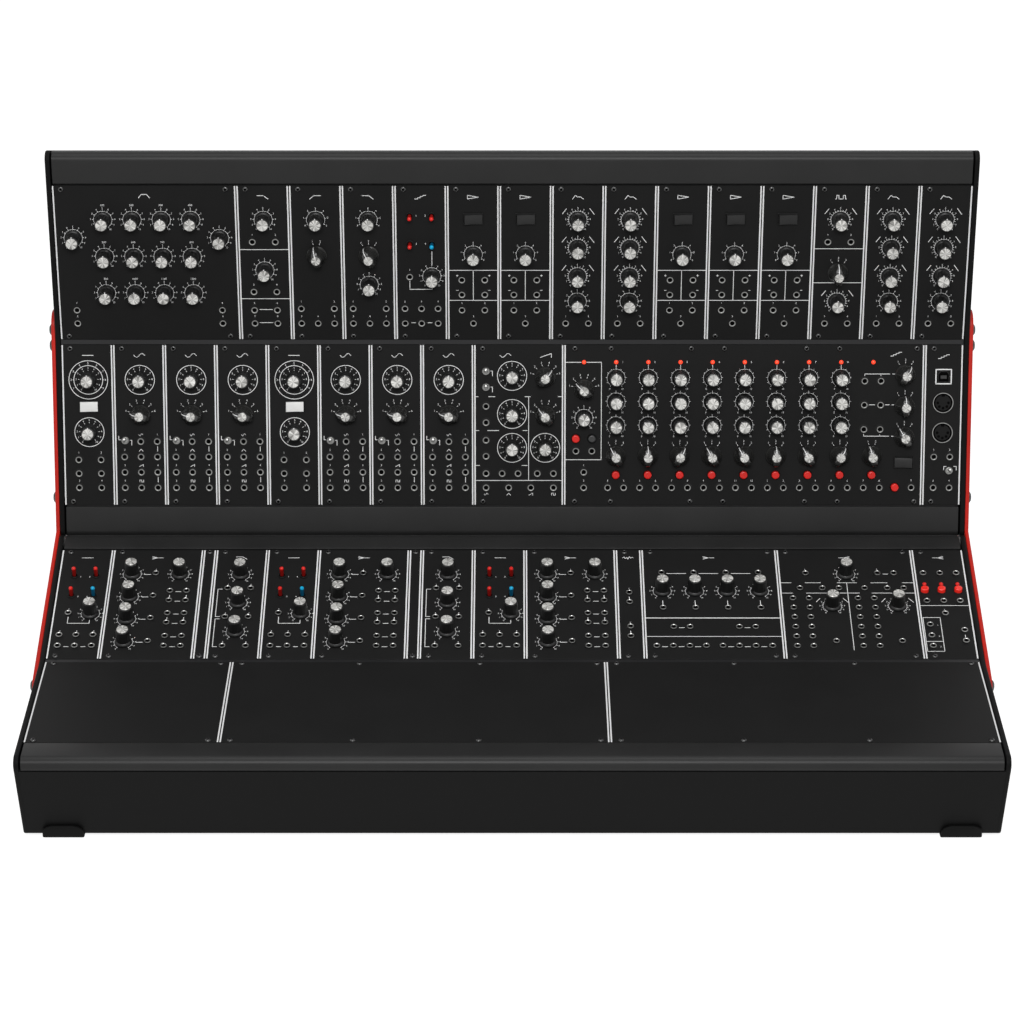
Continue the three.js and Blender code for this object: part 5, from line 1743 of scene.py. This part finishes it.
# Each stick takes the darker copy of its tip's colour as painted shade.
LEVERS = [lever_stick(RED, SHADED_RED)] * 3 + [lever_stick(BLUE, SHADED_BLUE)]


def moving_part(control, kind, number, turn, look):
    """The part of a control that a finger moves, or None for a lamp or a socket."""
    if control == "knob":
        return round_knob(turn)
    if control == "pointer":
        return pointer_knob(turn)
    if control == "button":
        return BUTTONS[look]
    if control == "rocker":
        return ROCKERS[kind]
    if control == "toggle":
        return toggle_bat()
    return LEVERS[number] if control == "lever" else None


# %% Build every row
CIRCUIT_INSET = 1.6
CIRCUIT_SPAN = (16.7, 111.8)
CIRCUIT_LEVELS = (-14, -12.4)
controls_made = 0
for row, modules in MODULES.items():
    matrix = ROWS[row]
    start = -ROW_WIDTH / 2
    for node, kind, units, copies in modules:
        width = units * UNIT
        end = start + width * copies
        screws = SCREWS.get(units if kind == "blank" else kind, USUAL_SCREW)
        plates, ink, parts = [], [], []
        for copy in range(copies):
            left = start + copy * width
            plates.append(sheet(left, width, openings(kind, left, width)))
            ink += module_print(kind, width, left)
            parts.append(UNIT_FORMS["screw"].copies([(left + x, y, 0) for x in screws for y in SCREW_LINES]))
            for number, control, x, y, turn, look in placed(kind, width):
                place = at(left + x, y)
                if control in UNIT_FORMS:
                    parts.append(UNIT_FORMS["unlit" if look == "unlit" else control].moved(place))
                form = moving_part(control, kind, number, turn, look)
                if form is None:
                    continue
                controls_made += 1
                form = numbered(form, controls_made).moved(place)
                name, slot = (MOVERS.get((node, number)) if copy == 0 else None) or (None, None)
                if name:
                    make_piece(f"{name}_fine", form.moved(matrix), CONTROL_FINISHES,
                               body=name, stands_for=[name])
                else:
                    parts.append(form)
        if kind != "blank":
            low, high = CIRCUIT_SPAN
            plates.append(slab(start + CIRCUIT_INSET, low, end - CIRCUIT_INSET, high, *CIRCUIT_LEVELS, BOARD))
        make_piece(f"{node}_plate", joined(plates).moved(matrix), [anodised_panel, circuit_green],
                   stands_for=[node])
        make_piece(f"{node}_print", joined(ink).moved(matrix), CONTROL_FINISHES)
        make_piece(f"{node}_controls", joined(parts).moved(matrix), CONTROL_FINISHES)
        start = end
    print(row, "ends at", round(start, 2))

# %% [markdown]
# ## The studio
# The photograph is a cut-out on pure white, lit softly from above and in front. The
# floor and the world show white to the camera, and to reflections, while the light
# that they throw on the instrument is set apart.

# %% Floor, world and lights
FLOOR_GLOW = 0.84
FLOOR_CORNERS = [(-4, -4, 0), (4, -4, 0), (4, 5, 0), (-4, 5, 0)]
WORLD_LIGHT = "#6c6c6c"
WHITE_LIGHT = (1, 1, 1, 1)


def seen_share(tree, share=1.0):
    """This share for rays from the camera, off gloss or through glass, and 0 for the rays that light."""
    path = add_node(tree, "ShaderNodeLightPath").outputs
    seen = worked_out(tree, "MAXIMUM", path["Is Camera Ray"], path["Is Transmission Ray"])
    return worked_out(tree, "MULTIPLY", worked_out(tree, "MAXIMUM", seen, path["Is Glossy Ray"]), share)


def white_ground(name, code, lit):
    """A plain pale floor that glows enough to look white to the camera and in gloss, but for its shadow."""
    material, tree, shader = new_material(name)
    feed(tree, shader, {"Base Color": linear(code), "Roughness": 0.8})
    glow = add_node(tree, "ShaderNodeEmission", {"Color": WHITE_LIGHT, "Strength": seen_share(tree, lit)})
    mix = add_node(tree, "ShaderNodeAddShader", {0: shader.outputs[0], 1: glow.outputs[0]})
    feed(tree, tree.nodes["Material Output"], {"Surface": mix.outputs[0]})
    return material


floor_mesh = bpy.data.meshes.new("studio_floor")
floor_mesh.from_pydata(FLOOR_CORNERS, [], [(0, 1, 2, 3)])
floor_mesh.materials.append(white_ground("floor_pale", "#c9c9c8", FLOOR_GLOW))
floor = bpy.data.objects.new("studio_floor", floor_mesh)
bpy.context.scene.collection.objects.link(floor)

world = bpy.data.worlds.new("studio_world")
world.use_nodes = True
bpy.context.scene.world = world
tree = world.node_tree
sockets = {"Factor": seen_share(tree), "A": linear(WORLD_LIGHT), "B": WHITE_LIGHT}
tone = add_node(tree, "ShaderNodeMix", sockets, data_type="RGBA")
feed(tree, tree.nodes["Background"], {"Color": tone.outputs["Result"]})


def softbox(name, place, target, width, tall, power):
    """A rectangular area light at a place in metres, turned to face a target."""
    data = bpy.data.lights.new(name, "AREA")
    data.shape = "RECTANGLE"
    data.size, data.size_y, data.energy = width, tall, power
    light = bpy.data.objects.new(name, data)
    light.location = place
    light.rotation_euler = (Vector(target) - Vector(place)).to_track_quat("-Z", "Y").to_euler()
    bpy.context.scene.collection.objects.link(light)


softbox("front_softbox", (0, -2.35, 1.9), (0, 0, 0.2), 1.4, 0.6, 50)
softbox("overhead_softbox", (0, -0.2, 2.4), (0, -0.1, 0.2), 1.6, 1.0, 17)

bpy.context.scene.view_settings.view_transform = "Standard"

# %% Last update of the scene
bpy.context.view_layer.update()
